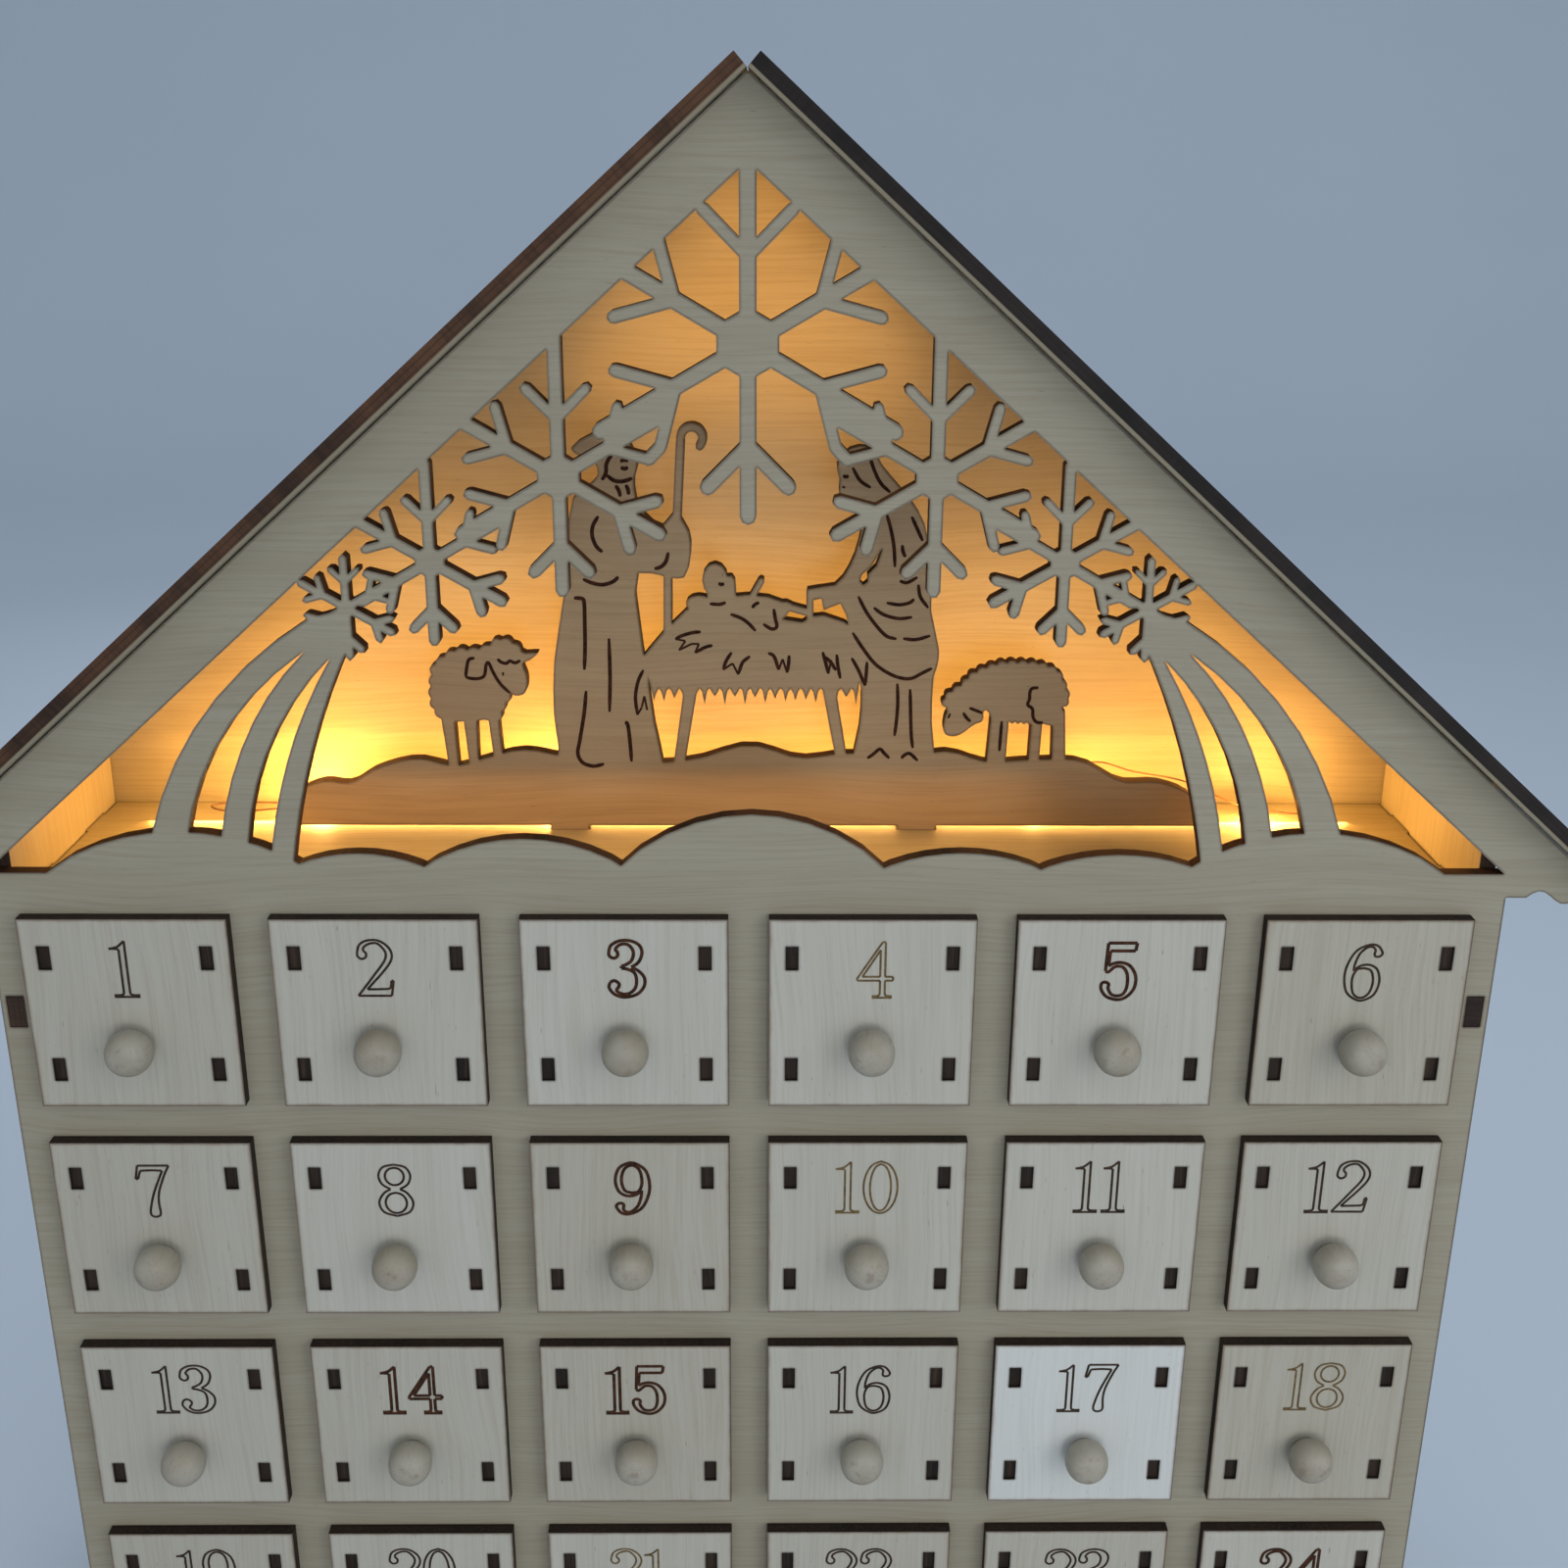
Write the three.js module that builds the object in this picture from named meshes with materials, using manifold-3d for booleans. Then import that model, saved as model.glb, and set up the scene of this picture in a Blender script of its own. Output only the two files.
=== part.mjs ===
// Wooden advent calendar: a plywood house with twenty-four drawers under a lit loft.
// Every board is laser cut and plugs into its neighbours with tabs and slots. The gable is pierced
// with snowflakes, and a cut-out nativity scene stands behind it in front of a string of small lamps.
// Millimetres. +Z is up, +X is to the right seen from the front, +Y points to the back.

import * as THREE from 'three';
import { mergeVertices } from 'three/addons/utils/BufferGeometryUtils.js';
import Module from 'manifold-3d';

// Sheets and clearances
const ply = 3;                 // sheet of the house, the roof and the scene
const drawerPly = 2.5;         // thinner sheet of the drawers
const fitGap = 0.3;            // between boards that rest against each other
const slotPlay = 0.15;         // round a tab in its slot
const overrun = 2;             // a cutter runs this far past what it cuts

// Drawers
const columns = 6;
const rows = 4;
const trayWidth = 32.4;
const trayHeight = 33;
const trayLength = 54;         // from the drawer front's back face
const trayPlay = 0.5;          // tray side to window edge
const trayHeadroom = 0.7;      // tray top to window top
const trayRearRoom = 3.5;      // tray back to back panel
const frontLapSide = 3.05;     // drawer front past its tray, left and right
const frontLapEnd = 2.9;       // the same above and below
const columnGap = 7.5;         // between drawer fronts
const rowGap = 8;
const frontSlotWidth = 2.4;    // slots where the tray's tabs show in the front
const frontSlotHeight = 4.8;
const frontSlotDepth = 0.7;
const frontSlotRiseShare = 0.35;   // of the tray's height

// Knobs
const knobDiameter = 9.8;
const knobReach = 9;
const knobNeckDiameter = 5.6;
const knobPegDiameter = 4;
const knobPegShare = 0.6;          // of the drawer front's thickness
const knobNeckShare = 0.2;         // of the reach
const knobDropShare = 0.18;        // of the tray's height, below the front's middle
const knobFullnessShare = 0.8;     // under 1 makes the head flatter at its nose
const knobSides = 8;

// House
const plinth = 7.4;            // under the lowest board
const bodyMargin = 2.5;        // front panel past the last column's pitch
const wallInset = 1.3;         // panel edge to side wall
const floorRise = 0.5;         // loft floor over the top windows
const eaveRise = 20.1;         // roof over the loft floor at the panel's side edge
const roofPitch = THREE.MathUtils.degToRad(41.5);
const roofFrontOverhang = 6;
const roofRearOverhang = 3;
const eaveLip = 1.5;           // roof board past the eave lug
const lugRise = 2.2;           // underside of the eave lug over the loft floor
const lugTip = 1;              // height left at the lug's tip
const lugWave = 1.3;
const lugWaveCount = 1.6;
const lugFlatShare = 0.2;      // of the lug's reach, before its waves
const wallTabLength = 6.2;     // tabs of the side walls in the gable panels
const boardTabLength = 10;     // tabs of the floor boards in the side walls
const wallTabDropShare = 0.025;    // of the tray's height, below the drawers' middle
const boardTabShares = [0.24, 0.76];   // of the inner depth

// Gable opening
const gableBorder = 10.5;
const sillRise = 6.9;          // over the loft floor

// Scene
const sceneWidth = 186;
const sceneLift = 0.8;         // light slit under its lower edge
const sceneTabWidth = 8;
const sceneDepthShare = 0.7;   // of the inner depth
const hillHeight = 15;
const footDepthShare = 0.25;   // of the hill height, how far feet and tabs reach into the ground
const manHeight = 66;
const manPlaceShare = -0.3;    // of half the scene's width, from the middle
const womanHeight = 62.5;
const womanPlaceShare = 0.315;
const mangerLength = 42;
const mangerPlaceShare = 0.004;
const sheepLength = 20;

// Lights
const wireDiameter = 1.2;
const wireSides = 5;
const wireHoleDiameter = 5;
const wireHoleShare = -0.37;   // of the battery box's width, from the middle
const wireHoleRise = 7;        // over the loft floor
const beadDiameter = 4;
const beadLength = 6;
const beadSpacing = 50;

// Battery box
const boxWidth = 68;
const boxHeight = 36;
const boxDepth = 18;
const boxCorner = 3;
const boxLidGroove = 0.8;
const boxLidMargin = 4;
const switchWidth = 5;
const switchLength = 7;
const switchTravel = 4;
const switchHeight = 2.4;
const switchSeatDepth = 1.6;

// Worked out from the sizes above
const frontWidth = trayWidth + 2 * frontLapSide;
const columnPitch = frontWidth + columnGap;
const windowWidth = trayWidth + 2 * trayPlay;
const windowHeight = fitGap + trayHeight + trayHeadroom;
const frontHeight = windowHeight - fitGap - trayHeadroom + 2 * frontLapEnd;
const rowPitch = frontHeight + rowGap;
const halfBody = (columns * columnPitch) / 2 + bodyMargin;
const wallOuter = halfBody - wallInset;
const wallInner = wallOuter - ply;
const backFace = trayLength - fitGap + trayRearRoom;
const innerDepth = backFace - ply;
const baseTop = plinth + ply;
const topShelf = baseTop + (rows - 1) * rowPitch;
const floorUnder = topShelf + windowHeight + floorRise;
const floorTop = floorUnder + ply;
const slope = Math.tan(roofPitch);
const ridge = floorTop + eaveRise + halfBody * slope;
const lugReach = (eaveRise - lugRise - lugTip) / slope;
const sill = floorTop + sillRise;
const openingApex = ridge - gableBorder / Math.cos(roofPitch);
const openingHeight = openingApex - sill;
const openingHalf = openingHeight / slope;
const sceneFront = ply + innerDepth * sceneDepthShare;
const sceneFoot = floorTop + sceneLift;
const boxFront = backFace + ply + fitGap;
const depthMiddle = (boxFront + boxDepth - fitGap - drawerPly - knobReach) / 2;

// Solids

const wasm = await Module();
wasm.setup();

// A closed mesh as a solid for joining and cutting.
function solid(geometry) {
  const bare = geometry.index ? geometry.clone() : geometry;
  bare.deleteAttribute('normal');
  bare.deleteAttribute('uv');
  const merged = mergeVertices(bare);
  return new wasm.Manifold(new wasm.Mesh({
    numProp: 3,
    vertProperties: new Float32Array(merged.attributes.position.array),
    triVerts: new Uint32Array(merged.index.array),
  }));
}

function geometryOf(body) {
  const mesh = body.getMesh();
  const geometry = new THREE.BufferGeometry();
  geometry.setAttribute('position', new THREE.BufferAttribute(new Float32Array(mesh.vertProperties), 3));
  geometry.setIndex(new THREE.BufferAttribute(new Uint32Array(mesh.triVerts), 1));
  return geometry;
}

const join = (bodies) => bodies.reduce((whole, body) => whole.add(body));

const outline = (points) => new THREE.Shape(points.map(([x, y]) => new THREE.Vector2(x, y)));

// A sheet with its outline in X and Z, from the given front face to the back.
function upright(shape, front, thickness) {
  const sheet = new THREE.ExtrudeGeometry(shape, { depth: thickness, bevelEnabled: false });
  sheet.rotateX(Math.PI / 2);
  sheet.translate(0, front + thickness, 0);
  return solid(sheet);
}

function block(x0, x1, y0, y1, z0, z1) {
  const box = new THREE.BoxGeometry(x1 - x0, y1 - y0, z1 - z0);
  box.translate((x0 + x1) / 2, (y0 + y1) / 2, (z0 + z1) / 2);
  return solid(box);
}

function smoothOutline(points, stepsPerPoint) {
  const curve = new THREE.CatmullRomCurve3(points.map(([x, y]) => new THREE.Vector3(x, y, 0)), true);
  const spaced = curve.getPoints(points.length * stepsPerPoint).slice(0, -1);
  return outline(spaced.map((point) => [point.x, point.y]));
}

function piece(name, geometry, material) {
  const mesh = new THREE.Mesh(geometry, material);
  mesh.name = name;
  return mesh;
}

const birch = new THREE.MeshStandardMaterial({ color: 0xcfc5b0, roughness: 0.75, metalness: 0 });
const drawerBirch = new THREE.MeshStandardMaterial({ color: 0xd6cfbd, roughness: 0.75, metalness: 0 });
const turnedWood = new THREE.MeshStandardMaterial({ color: 0xd8c0a6, roughness: 0.6, metalness: 0 });
const sceneBirch = new THREE.MeshStandardMaterial({ color: 0xb08f68, roughness: 0.8, metalness: 0 });
const lampResin = new THREE.MeshStandardMaterial({ color: 0xffd890, roughness: 0.3, metalness: 0 });
const blackPlastic = new THREE.MeshStandardMaterial({ color: 0x26262a, roughness: 0.5, metalness: 0 });

const house = new THREE.Group();
house.position.y = -depthMiddle;

const columnX = (column) => (column - (columns - 1) / 2) * columnPitch;
const shelfZ = (row) => topShelf - row * rowPitch;
const drawerMiddle = (row) => shelfZ(row) + windowHeight / 2;
const sides = [-1, 1];

// Gable panels
// The front and back panels share one outline: straight sides, scalloped lugs that carry the eaves,
// and two slopes that end just under the roof.

const underRoof = (x) => ridge - Math.abs(x) * slope - fitGap / Math.cos(roofPitch);

function gableShape() {
  const waveSteps = 14;
  const lugEdge = [];
  for (let i = 0; i <= waveSteps; i += 1) {
    const along = i / waveSteps;
    const reach = lugReach * (lugFlatShare + (1 - lugFlatShare) * along);
    const wave = lugWave * Math.sin(2 * Math.PI * lugWaveCount * along);
    lugEdge.push([halfBody + reach, floorTop + lugRise + wave]);
  }
  const right = [
    [halfBody, 0],
    [halfBody, floorTop + lugRise],
    ...lugEdge,
    [halfBody + lugReach, underRoof(halfBody + lugReach)],
  ];
  const left = right.map(([x, z]) => [-x, z]).reverse();
  return outline([...right, [0, underRoof(0)], ...left]);
}

const wallTabZ = [0, rows - 1].map((row) => drawerMiddle(row) - trayHeight * wallTabDropShare);

function wallTabSlots(front) {
  const across = ply / 2 + slotPlay;
  const tall = wallTabLength / 2 + slotPlay;
  const middle = (wallOuter + wallInner) / 2;
  return join(sides.flatMap((side) => wallTabZ.map((z) => block(
    side * middle - across, side * middle + across,
    front - overrun, front + ply + overrun, z - tall, z + tall,
  ))));
}

// Snowflakes
// Six arms round a hexagon, each with two twigs at 45 degrees and round ends. The arms that hang free
// in the opening fork further out than those that meet the border or the next flake. The flakes under
// the gable's slopes have a longer top arm, which is sunk into the border.

const flakeHubShare = 0.2;         // of a flake's reach
const flakeHangShare = 0.2;
const freeArmShares = { fork: 0.56, twig: 0.323, twigWidth: 0.95 };   // of the reach and the stroke
const heldArmShares = { fork: 0.465, twig: 0.345, twigWidth: 0.78 };
const flakeShares = [              // place across and up, reach and stroke, of the opening
  { across: 0, up: 0.7676, reach: 0.2445, stroke: 0.0231, capSteps: 4, hangs: true },
  { across: 0.231, up: 0.5884, reach: 0.1692, stroke: 0.0194, capSteps: 3, hangs: true },
  { across: 0.3938, up: 0.4692, reach: 0.1215, stroke: 0.016, capSteps: 3, hangs: true },
  { across: 0.5011, up: 0.4032, reach: 0.0776, stroke: 0.0117, capSteps: 2, hangs: false },
];

// A straight stroke with round ends between two points.
function stroke(from, to, width, front, thickness, capSteps = 3) {
  const run = Math.atan2(to[1] - from[1], to[0] - from[0]);
  const points = [];
  for (const [centre, turn] of [[to, -Math.PI / 2], [from, Math.PI / 2]]) {
    for (let i = 0; i <= capSteps; i += 1) {
      const angle = run + turn + (Math.PI * i) / capSteps;
      points.push([
        centre[0] + (width / 2) * Math.cos(angle),
        centre[1] + (width / 2) * Math.sin(angle),
      ]);
    }
  }
  return upright(outline(points), front, thickness);
}

const polar = ([x, z], radius, angle) => [x + radius * Math.cos(angle), z + radius * Math.sin(angle)];

const inOpening = (side) => ([across, up]) => new THREE.Vector2(
  side * across * openingHalf,
  sill + up * openingHeight,
);

// Arms are counted against the clock from the top one. The bottom arm and the lower arm that points to
// the gable's middle hang free.
function snowflake(flake, side, front, thickness) {
  const centre = inOpening(side)([flake.across, flake.up]).toArray();
  const reach = flake.reach * openingHeight;
  const width = flake.stroke * openingHeight;
  const hang = flake.hangs ? reach * flakeHangShare : 0;
  const innerArm = side < 0 ? 4 : 2;
  const freeArms = flake.across === 0 ? [3] : [3, innerArm];
  const hub = [0, 1, 2, 3, 4, 5].map((i) => polar(centre, reach * flakeHubShare, (i + 0.5) * (Math.PI / 3)));
  const bodies = [upright(outline(hub), front, thickness)];
  for (let arm = 0; arm < 6; arm += 1) {
    const shares = freeArms.includes(arm) ? freeArmShares : heldArmShares;
    const angle = Math.PI / 2 + (arm * Math.PI) / 3;
    const fork = polar(centre, reach * shares.fork, angle);
    const end = polar(centre, reach - width / 2 + (arm === 0 ? hang : 0), angle);
    bodies.push(stroke(centre, end, width, front, thickness, flake.capSteps));
    for (const turn of sides) {
      const twig = polar(fork, reach * shares.twig, angle + (turn * Math.PI) / 4);
      bodies.push(stroke(fork, twig, width * shares.twigWidth, front, thickness, flake.capSteps));
    }
  }
  return join(bodies);
}

// Comet tails
// Three curved rays that sweep down from each outer flake. The fan is one sheet between two curves,
// and two slits part its rays.

const tailFanShares = {            // root, then start, pull and end of the two edges
  root: [0.5011, 0.4032],
  inner: [[0.497, 0.358], [0.572, 0.195], [0.598, 0.0]],
  outer: [[0.549, 0.388], [0.746, 0.2535], [0.7905, 0.0]],
};
const tailSlitShares = [
  {
    root: [0.527, 0.329],
    inner: [[0.5272, 0.3286], [0.6085, 0.182], [0.6274, 0.0]],
    outer: [[0.5274, 0.329], [0.6463, 0.199], [0.6562, 0.0]],
  },
  {
    root: [0.559, 0.339],
    inner: [[0.5592, 0.3386], [0.672, 0.2178], [0.695, 0.0]],
    outer: [[0.5594, 0.339], [0.718, 0.2148], [0.7388, 0.0]],
  },
];

function sweptSheet({ root, inner, outer }, side, front, thickness) {
  const curveSteps = 8;
  const [innerEdge, outerEdge] = [inner, outer].map((points) => (
    new THREE.QuadraticBezierCurve(...points.map(inOpening(side))).getPoints(curveSteps)
  ));
  const points = [inOpening(side)(root), ...innerEdge, ...outerEdge.reverse()];
  return upright(new THREE.Shape(points), front, thickness);
}

// Clouds
// Low round humps along the sill.

const cloudShares = [              // middle, half width and rise, of the opening
  [-0.745, 0.1755, 0.0656],
  [-0.512, 0.1024, 0.0318],
  [-0.2953, 0.1432, 0.0552],
  [0.004, 0.183, 0.094],
  [0.2804, 0.1173, 0.0333],
  [0.4892, 0.1163, 0.0308],
  [0.745, 0.1755, 0.0656],
];
const cloudUnderShare = -0.02;     // of the opening's height, sunk into the sill
const cloudFullnessShare = 0.88;   // 1 is a parabola and 0.5 an ellipse

function cloud([middle, half, rise], front, thickness) {
  const humpSteps = 10;
  const points = [[middle - half, cloudUnderShare], [middle + half, cloudUnderShare]];
  for (let i = 0; i <= humpSteps; i += 1) {
    const along = 1 - (2 * i) / humpSteps;
    points.push([middle + half * along, rise * (1 - along * along) ** cloudFullnessShare]);
  }
  return upright(new THREE.Shape(points.map(inOpening(1))), front, thickness);
}

// Where an arm of the top flake runs beside an arm of the next one, the gap between them is filled,
// and the twigs that they hold out to each other are joined at their tips.
function flakeBridge(side, front, thickness) {
  const [top, next] = flakeShares;
  const centres = [top, next].map(({ across, up }) => inOpening(side)([across, up]).toArray());
  const down = side < 0 ? (7 * Math.PI) / 6 : -Math.PI / 6;
  const onArm = (flake, centre, share, angle) => polar(centre, flake.reach * share * openingHeight, angle);
  const quad = [
    onArm(top, centres[0], heldArmShares.fork, down),
    onArm(top, centres[0], 1 - flakeHubShare, down),
    onArm(next, centres[1], heldArmShares.fork, down + Math.PI),
    onArm(next, centres[1], 1, down + Math.PI),
  ];
  const twigTip = (flake, centre, angle, turn) => polar(
    onArm(flake, centre, heldArmShares.fork, angle),
    flake.reach * heldArmShares.twig * openingHeight, angle + (turn * Math.PI) / 4,
  );
  const link = stroke(
    twigTip(top, centres[0], down, -side), twigTip(next, centres[1], down + Math.PI, side),
    top.stroke * heldArmShares.twigWidth * openingHeight, front, thickness, next.capSteps,
  );
  return upright(outline(quad), front, thickness).add(link);
}

function gableFiligree(front, thickness) {
  const bodies = cloudShares.map((share) => cloud(share, front, thickness));
  for (const side of sides) {
    for (const flake of flakeShares.slice(side < 0 ? 0 : 1)) {
      bodies.push(snowflake(flake, side, front, thickness));
    }
    const slits = join(tailSlitShares.map((edges) => (
      sweptSheet(edges, side, front - overrun, thickness + 2 * overrun)
    )));
    bodies.push(sweptSheet(tailFanShares, side, front, thickness).subtract(slits));
    bodies.push(flakeBridge(side, front, thickness));
  }
  return join(bodies);
}

function frontPanel() {
  const windows = [];
  for (let row = 0; row < rows; row += 1) {
    for (let column = 0; column < columns; column += 1) {
      windows.push(block(
        columnX(column) - windowWidth / 2, columnX(column) + windowWidth / 2,
        -overrun, ply + overrun, shelfZ(row), shelfZ(row) + windowHeight,
      ));
    }
  }
  const opening = upright(
    outline([[-openingHalf, sill], [openingHalf, sill], [0, openingApex]]),
    -overrun, ply + 2 * overrun,
  ).subtract(gableFiligree(-2 * overrun, ply + 4 * overrun));
  return upright(gableShape(), 0, ply)
    .subtract(join(windows))
    .subtract(opening)
    .subtract(wallTabSlots(0));
}

house.add(piece('front_panel', geometryOf(frontPanel()), birch));

// Back panel, with a hole behind the battery box for the lamp wire
const wireHoleX = boxWidth * wireHoleShare;

function backPanel() {
  const holeSides = 12;
  const holeRadius = wireHoleDiameter / 2;
  const hole = new THREE.CylinderGeometry(holeRadius, holeRadius, ply + 2 * overrun, holeSides);
  hole.translate(wireHoleX, backFace + ply / 2, floorTop + wireHoleRise);
  return upright(gableShape(), backFace, ply)
    .subtract(wallTabSlots(backFace))
    .subtract(solid(hole));
}

house.add(piece('back_panel', geometryOf(backPanel()), birch));

// Side walls
// Each wall plugs into both gable panels and holds the ends of the five floor boards.

const boardTabY = boardTabShares.map((share) => ply + innerDepth * share);
const boardLevels = [...Array(rows).keys()].map((row) => shelfZ(row) - ply).concat(floorUnder);

function sideWall(side) {
  const left = side < 0 ? -wallOuter : wallInner;
  const top = ridge - wallOuter * slope - fitGap / Math.cos(roofPitch);
  const sheet = block(left, left + ply, ply + fitGap, backFace - fitGap, 0, top);
  const tabs = wallTabZ.map((z) => block(
    left, left + ply, 0, backFace + ply, z - wallTabLength / 2, z + wallTabLength / 2,
  ));
  const slots = boardLevels.flatMap((z) => boardTabY.map((y) => block(
    left - overrun, left + ply + overrun,
    y - boardTabLength / 2 - slotPlay, y + boardTabLength / 2 + slotPlay,
    z - slotPlay, z + ply + slotPlay,
  )));
  return join([sheet, ...tabs]).subtract(join(slots));
}

house.add(piece('left_wall', geometryOf(sideWall(-1)), birch));
house.add(piece('right_wall', geometryOf(sideWall(1)), birch));

// Floor boards
// A board between the walls, with two tabs at each end that show outside the walls.
function floorBoard(under) {
  const end = wallInner - fitGap;
  const half = boardTabLength / 2;
  const tab = (y) => [[end, y - half], [wallOuter, y - half], [wallOuter, y + half], [end, y + half]];
  const rightEdge = [[end, ply + fitGap], ...boardTabY.flatMap(tab), [end, backFace - fitGap]];
  const leftEdge = rightEdge.map(([x, y]) => [-x, y]).reverse();
  const sheet = new THREE.ExtrudeGeometry(outline([...rightEdge, ...leftEdge]), {
    depth: ply, bevelEnabled: false,
  });
  sheet.translate(0, 0, under);
  return solid(sheet);
}

// Drawer grid: base board, shelves and upright dividers, slotted across each other
function drawerGrid() {
  const shelves = [...Array(rows).keys()].map((row) => floorBoard(shelfZ(row) - ply));
  const dividers = [];
  for (let column = 1; column < columns; column += 1) {
    const x = columnX(column) - columnPitch / 2;
    dividers.push(block(
      x - ply / 2, x + ply / 2, ply + fitGap, backFace - fitGap, plinth, floorUnder - fitGap,
    ));
  }
  return join([...shelves, ...dividers]);
}

house.add(piece('drawer_grid', geometryOf(drawerGrid()), birch));

// Loft floor, with two slots for the feet of the scene
const sceneTabShares = [-0.4, 0.37];   // of half the scene's width
const sceneTabX = sceneTabShares.map((share) => (share * sceneWidth) / 2);

function loftFloor() {
  const slots = sceneTabX.map((x) => block(
    x - sceneTabWidth / 2 - slotPlay, x + sceneTabWidth / 2 + slotPlay,
    sceneFront - slotPlay, sceneFront + ply + slotPlay, floorUnder - overrun, floorTop + overrun,
  ));
  return floorBoard(floorUnder).subtract(join(slots));
}

house.add(piece('loft_floor', geometryOf(loftFloor()), birch));

// Roof
// Two boards with square edges that meet at their lower corners and leave a notch along the ridge.

function roofBoard(side) {
  const length = (halfBody + lugReach + eaveLip) / Math.cos(roofPitch);
  const depth = roofFrontOverhang + backFace + ply + roofRearOverhang;
  const board = new THREE.BoxGeometry(length, depth, ply);
  board.translate(side * (length / 2 + fitGap / 2), depth / 2, ply / 2);
  const mesh = piece(side < 0 ? 'left_roof' : 'right_roof', board, birch);
  mesh.rotation.y = side * roofPitch;
  mesh.position.set(0, -roofFrontOverhang, ridge);
  return mesh;
}

house.add(roofBoard(-1), roofBoard(1));

// Scene
// One sheet: rolling ground with two sheep, a standing man with a crook, a child in a manger and a
// bending woman. Each figure is drawn in shares of its own height or length, from its own foot point.

const sceneSheet = (shape) => upright(shape, sceneFront, ply);
const placed = (points, [x, z], size) => points.map(([across, up]) => [x + across * size, z + up * size]);

const groundShares = [             // across: of half the width, up: of the hill height
  [-1, 0.505], [-0.935, 0.645], [-0.88, 0.615], [-0.82, 0.825], [-0.73, 0.965],
  [-0.645, 0.865], [-0.58, 0.975], [-0.495, 1.095], [-0.41, 1.005], [-0.3, 0.905],
  [-0.13, 0.955], [0, 1.165], [0.11, 0.985], [0.215, 1.055], [0.32, 0.965], [0.43, 1.085],
  [0.52, 0.935], [0.62, 0.965], [0.73, 0.945], [0.82, 0.655], [0.9, 0.645], [0.97, 0.485],
  [1, 0.265],
];

function ground() {
  const crest = new THREE.CatmullRomCurve3(groundShares.map(([across, up]) => (
    new THREE.Vector3((across * sceneWidth) / 2, sceneFoot + up * hillHeight, 0)
  ))).getPoints(groundShares.length * 3).map((point) => [point.x, point.y]);
  const tabs = sceneTabX.map((x) => block(
    x - sceneTabWidth / 2, x + sceneTabWidth / 2,
    sceneFront, sceneFront + ply, floorUnder, sceneFoot + hillHeight * footDepthShare,
  ));
  const half = sceneWidth / 2;
  return join([sceneSheet(outline([[half, sceneFoot], ...crest.reverse(), [-half, sceneFoot]])), ...tabs]);
}

// An oval for heads and bodies
function oval([x, z], across, up) {
  const steps = 12;
  const points = [];
  for (let i = 0; i < steps; i += 1) {
    const angle = (2 * Math.PI * i) / steps;
    points.push([x + across * Math.cos(angle), z + up * Math.sin(angle)]);
  }
  return sceneSheet(outline(points));
}

// A leg or post that tapers from its top to its foot.
function post(top, foot, topWidth, footWidth) {
  return sceneSheet(outline([
    [foot[0] - footWidth / 2, foot[1]], [foot[0] + footWidth / 2, foot[1]],
    [top[0] + topWidth / 2, top[1]], [top[0] - topWidth / 2, top[1]],
  ]));
}

const sceneGround = sceneFoot + hillHeight;
const footBottom = sceneGround - hillHeight * footDepthShare;
const curlShare = 0.028;           // of a sheep's length, how far a curl of wool stands out
const sheepLegTopShare = 0.5;

// Standing sheep, seen from the side with its head turned to the front. Its fleece is drawn from the
// forehead over the back, along the belly and up the chest.
const standingSheep = {
  foot: [-0.6, 0],                 // share of half the scene's width
  fleece: [
    { curls: 13, shares: [
      [0.51, 1.1], [0.41, 1.195], [0.28, 1.22], [0.175, 1.15], [0.02, 1.115], [-0.135, 1.11],
      [-0.275, 1.04], [-0.38, 0.94], [-0.405, 0.815], [-0.42, 0.645], [-0.4, 0.51], [-0.325, 0.395],
    ] },
    { curls: 0, shares: [[-0.325, 0.36], [0.03, 0.375], [0.1, 0.39], [0.24, 0.355]] },
    { curls: 3, shares: [[0.245, 0.375], [0.3, 0.515], [0.38, 0.655]] },
  ],
  headShares: [
    [0.39, 0.66], [0.46, 0.643], [0.52, 0.665], [0.555, 0.745], [0.552, 0.86], [0.515, 0.975],
    [0.59, 1.015], [0.675, 1.09], [0.545, 1.085], [0.47, 1.12], [0.3, 1],
  ],
  legShares: [                     // top and foot, each with its place and its width
    [[-0.27, 0.14], [-0.225, 0.1]], [[-0.04, 0.145], [-0.02, 0.09]], [[0.19, 0.11], [0.24, 0.09]],
  ],
};

// Grazing sheep, with its head down. Its fleece is drawn from the tail over the back to the forehead,
// and then along the throat, the belly and the thigh.
const grazingSheep = {
  foot: [0.565, 0],
  fleece: [
    { curls: 17, shares: [
      [0.533, 0.535], [0.583, 0.605], [0.563, 0.71], [0.518, 0.815], [0.458, 0.91], [0.298, 0.975],
      [0.098, 0.995], [-0.112, 0.985], [-0.267, 0.935], [-0.407, 0.86], [-0.497, 0.76],
      [-0.607, 0.68], [-0.672, 0.595], [-0.642, 0.525],
    ] },
    { curls: 0, shares: [
      [-0.63, 0.46], [-0.427, 0.48], [-0.267, 0.48], [-0.247, 0.505], [-0.207, 0.465], [-0.177, 0.38],
    ] },
    { curls: 4, shares: [[-0.002, 0.385], [0.118, 0.38], [0.238, 0.37]] },
    { curls: 0, shares: [[0.343, 0.355], [0.468, 0.325], [0.553, 0.36]] },
  ],
  headShares: [
    [-0.632, 0.475], [-0.66, 0.395], [-0.665, 0.295], [-0.637, 0.235], [-0.567, 0.22], [-0.497, 0.24],
    [-0.407, 0.305], [-0.337, 0.36], [-0.282, 0.375], [-0.267, 0.475], [-0.427, 0.57],
  ],
  legShares: [
    [[-0.092, 0.18], [-0.122, 0.2]], [[0.285, 0.11], [0.265, 0.11]], [[0.5, 0.12], [0.53, 0.15]],
  ],
};

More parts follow.
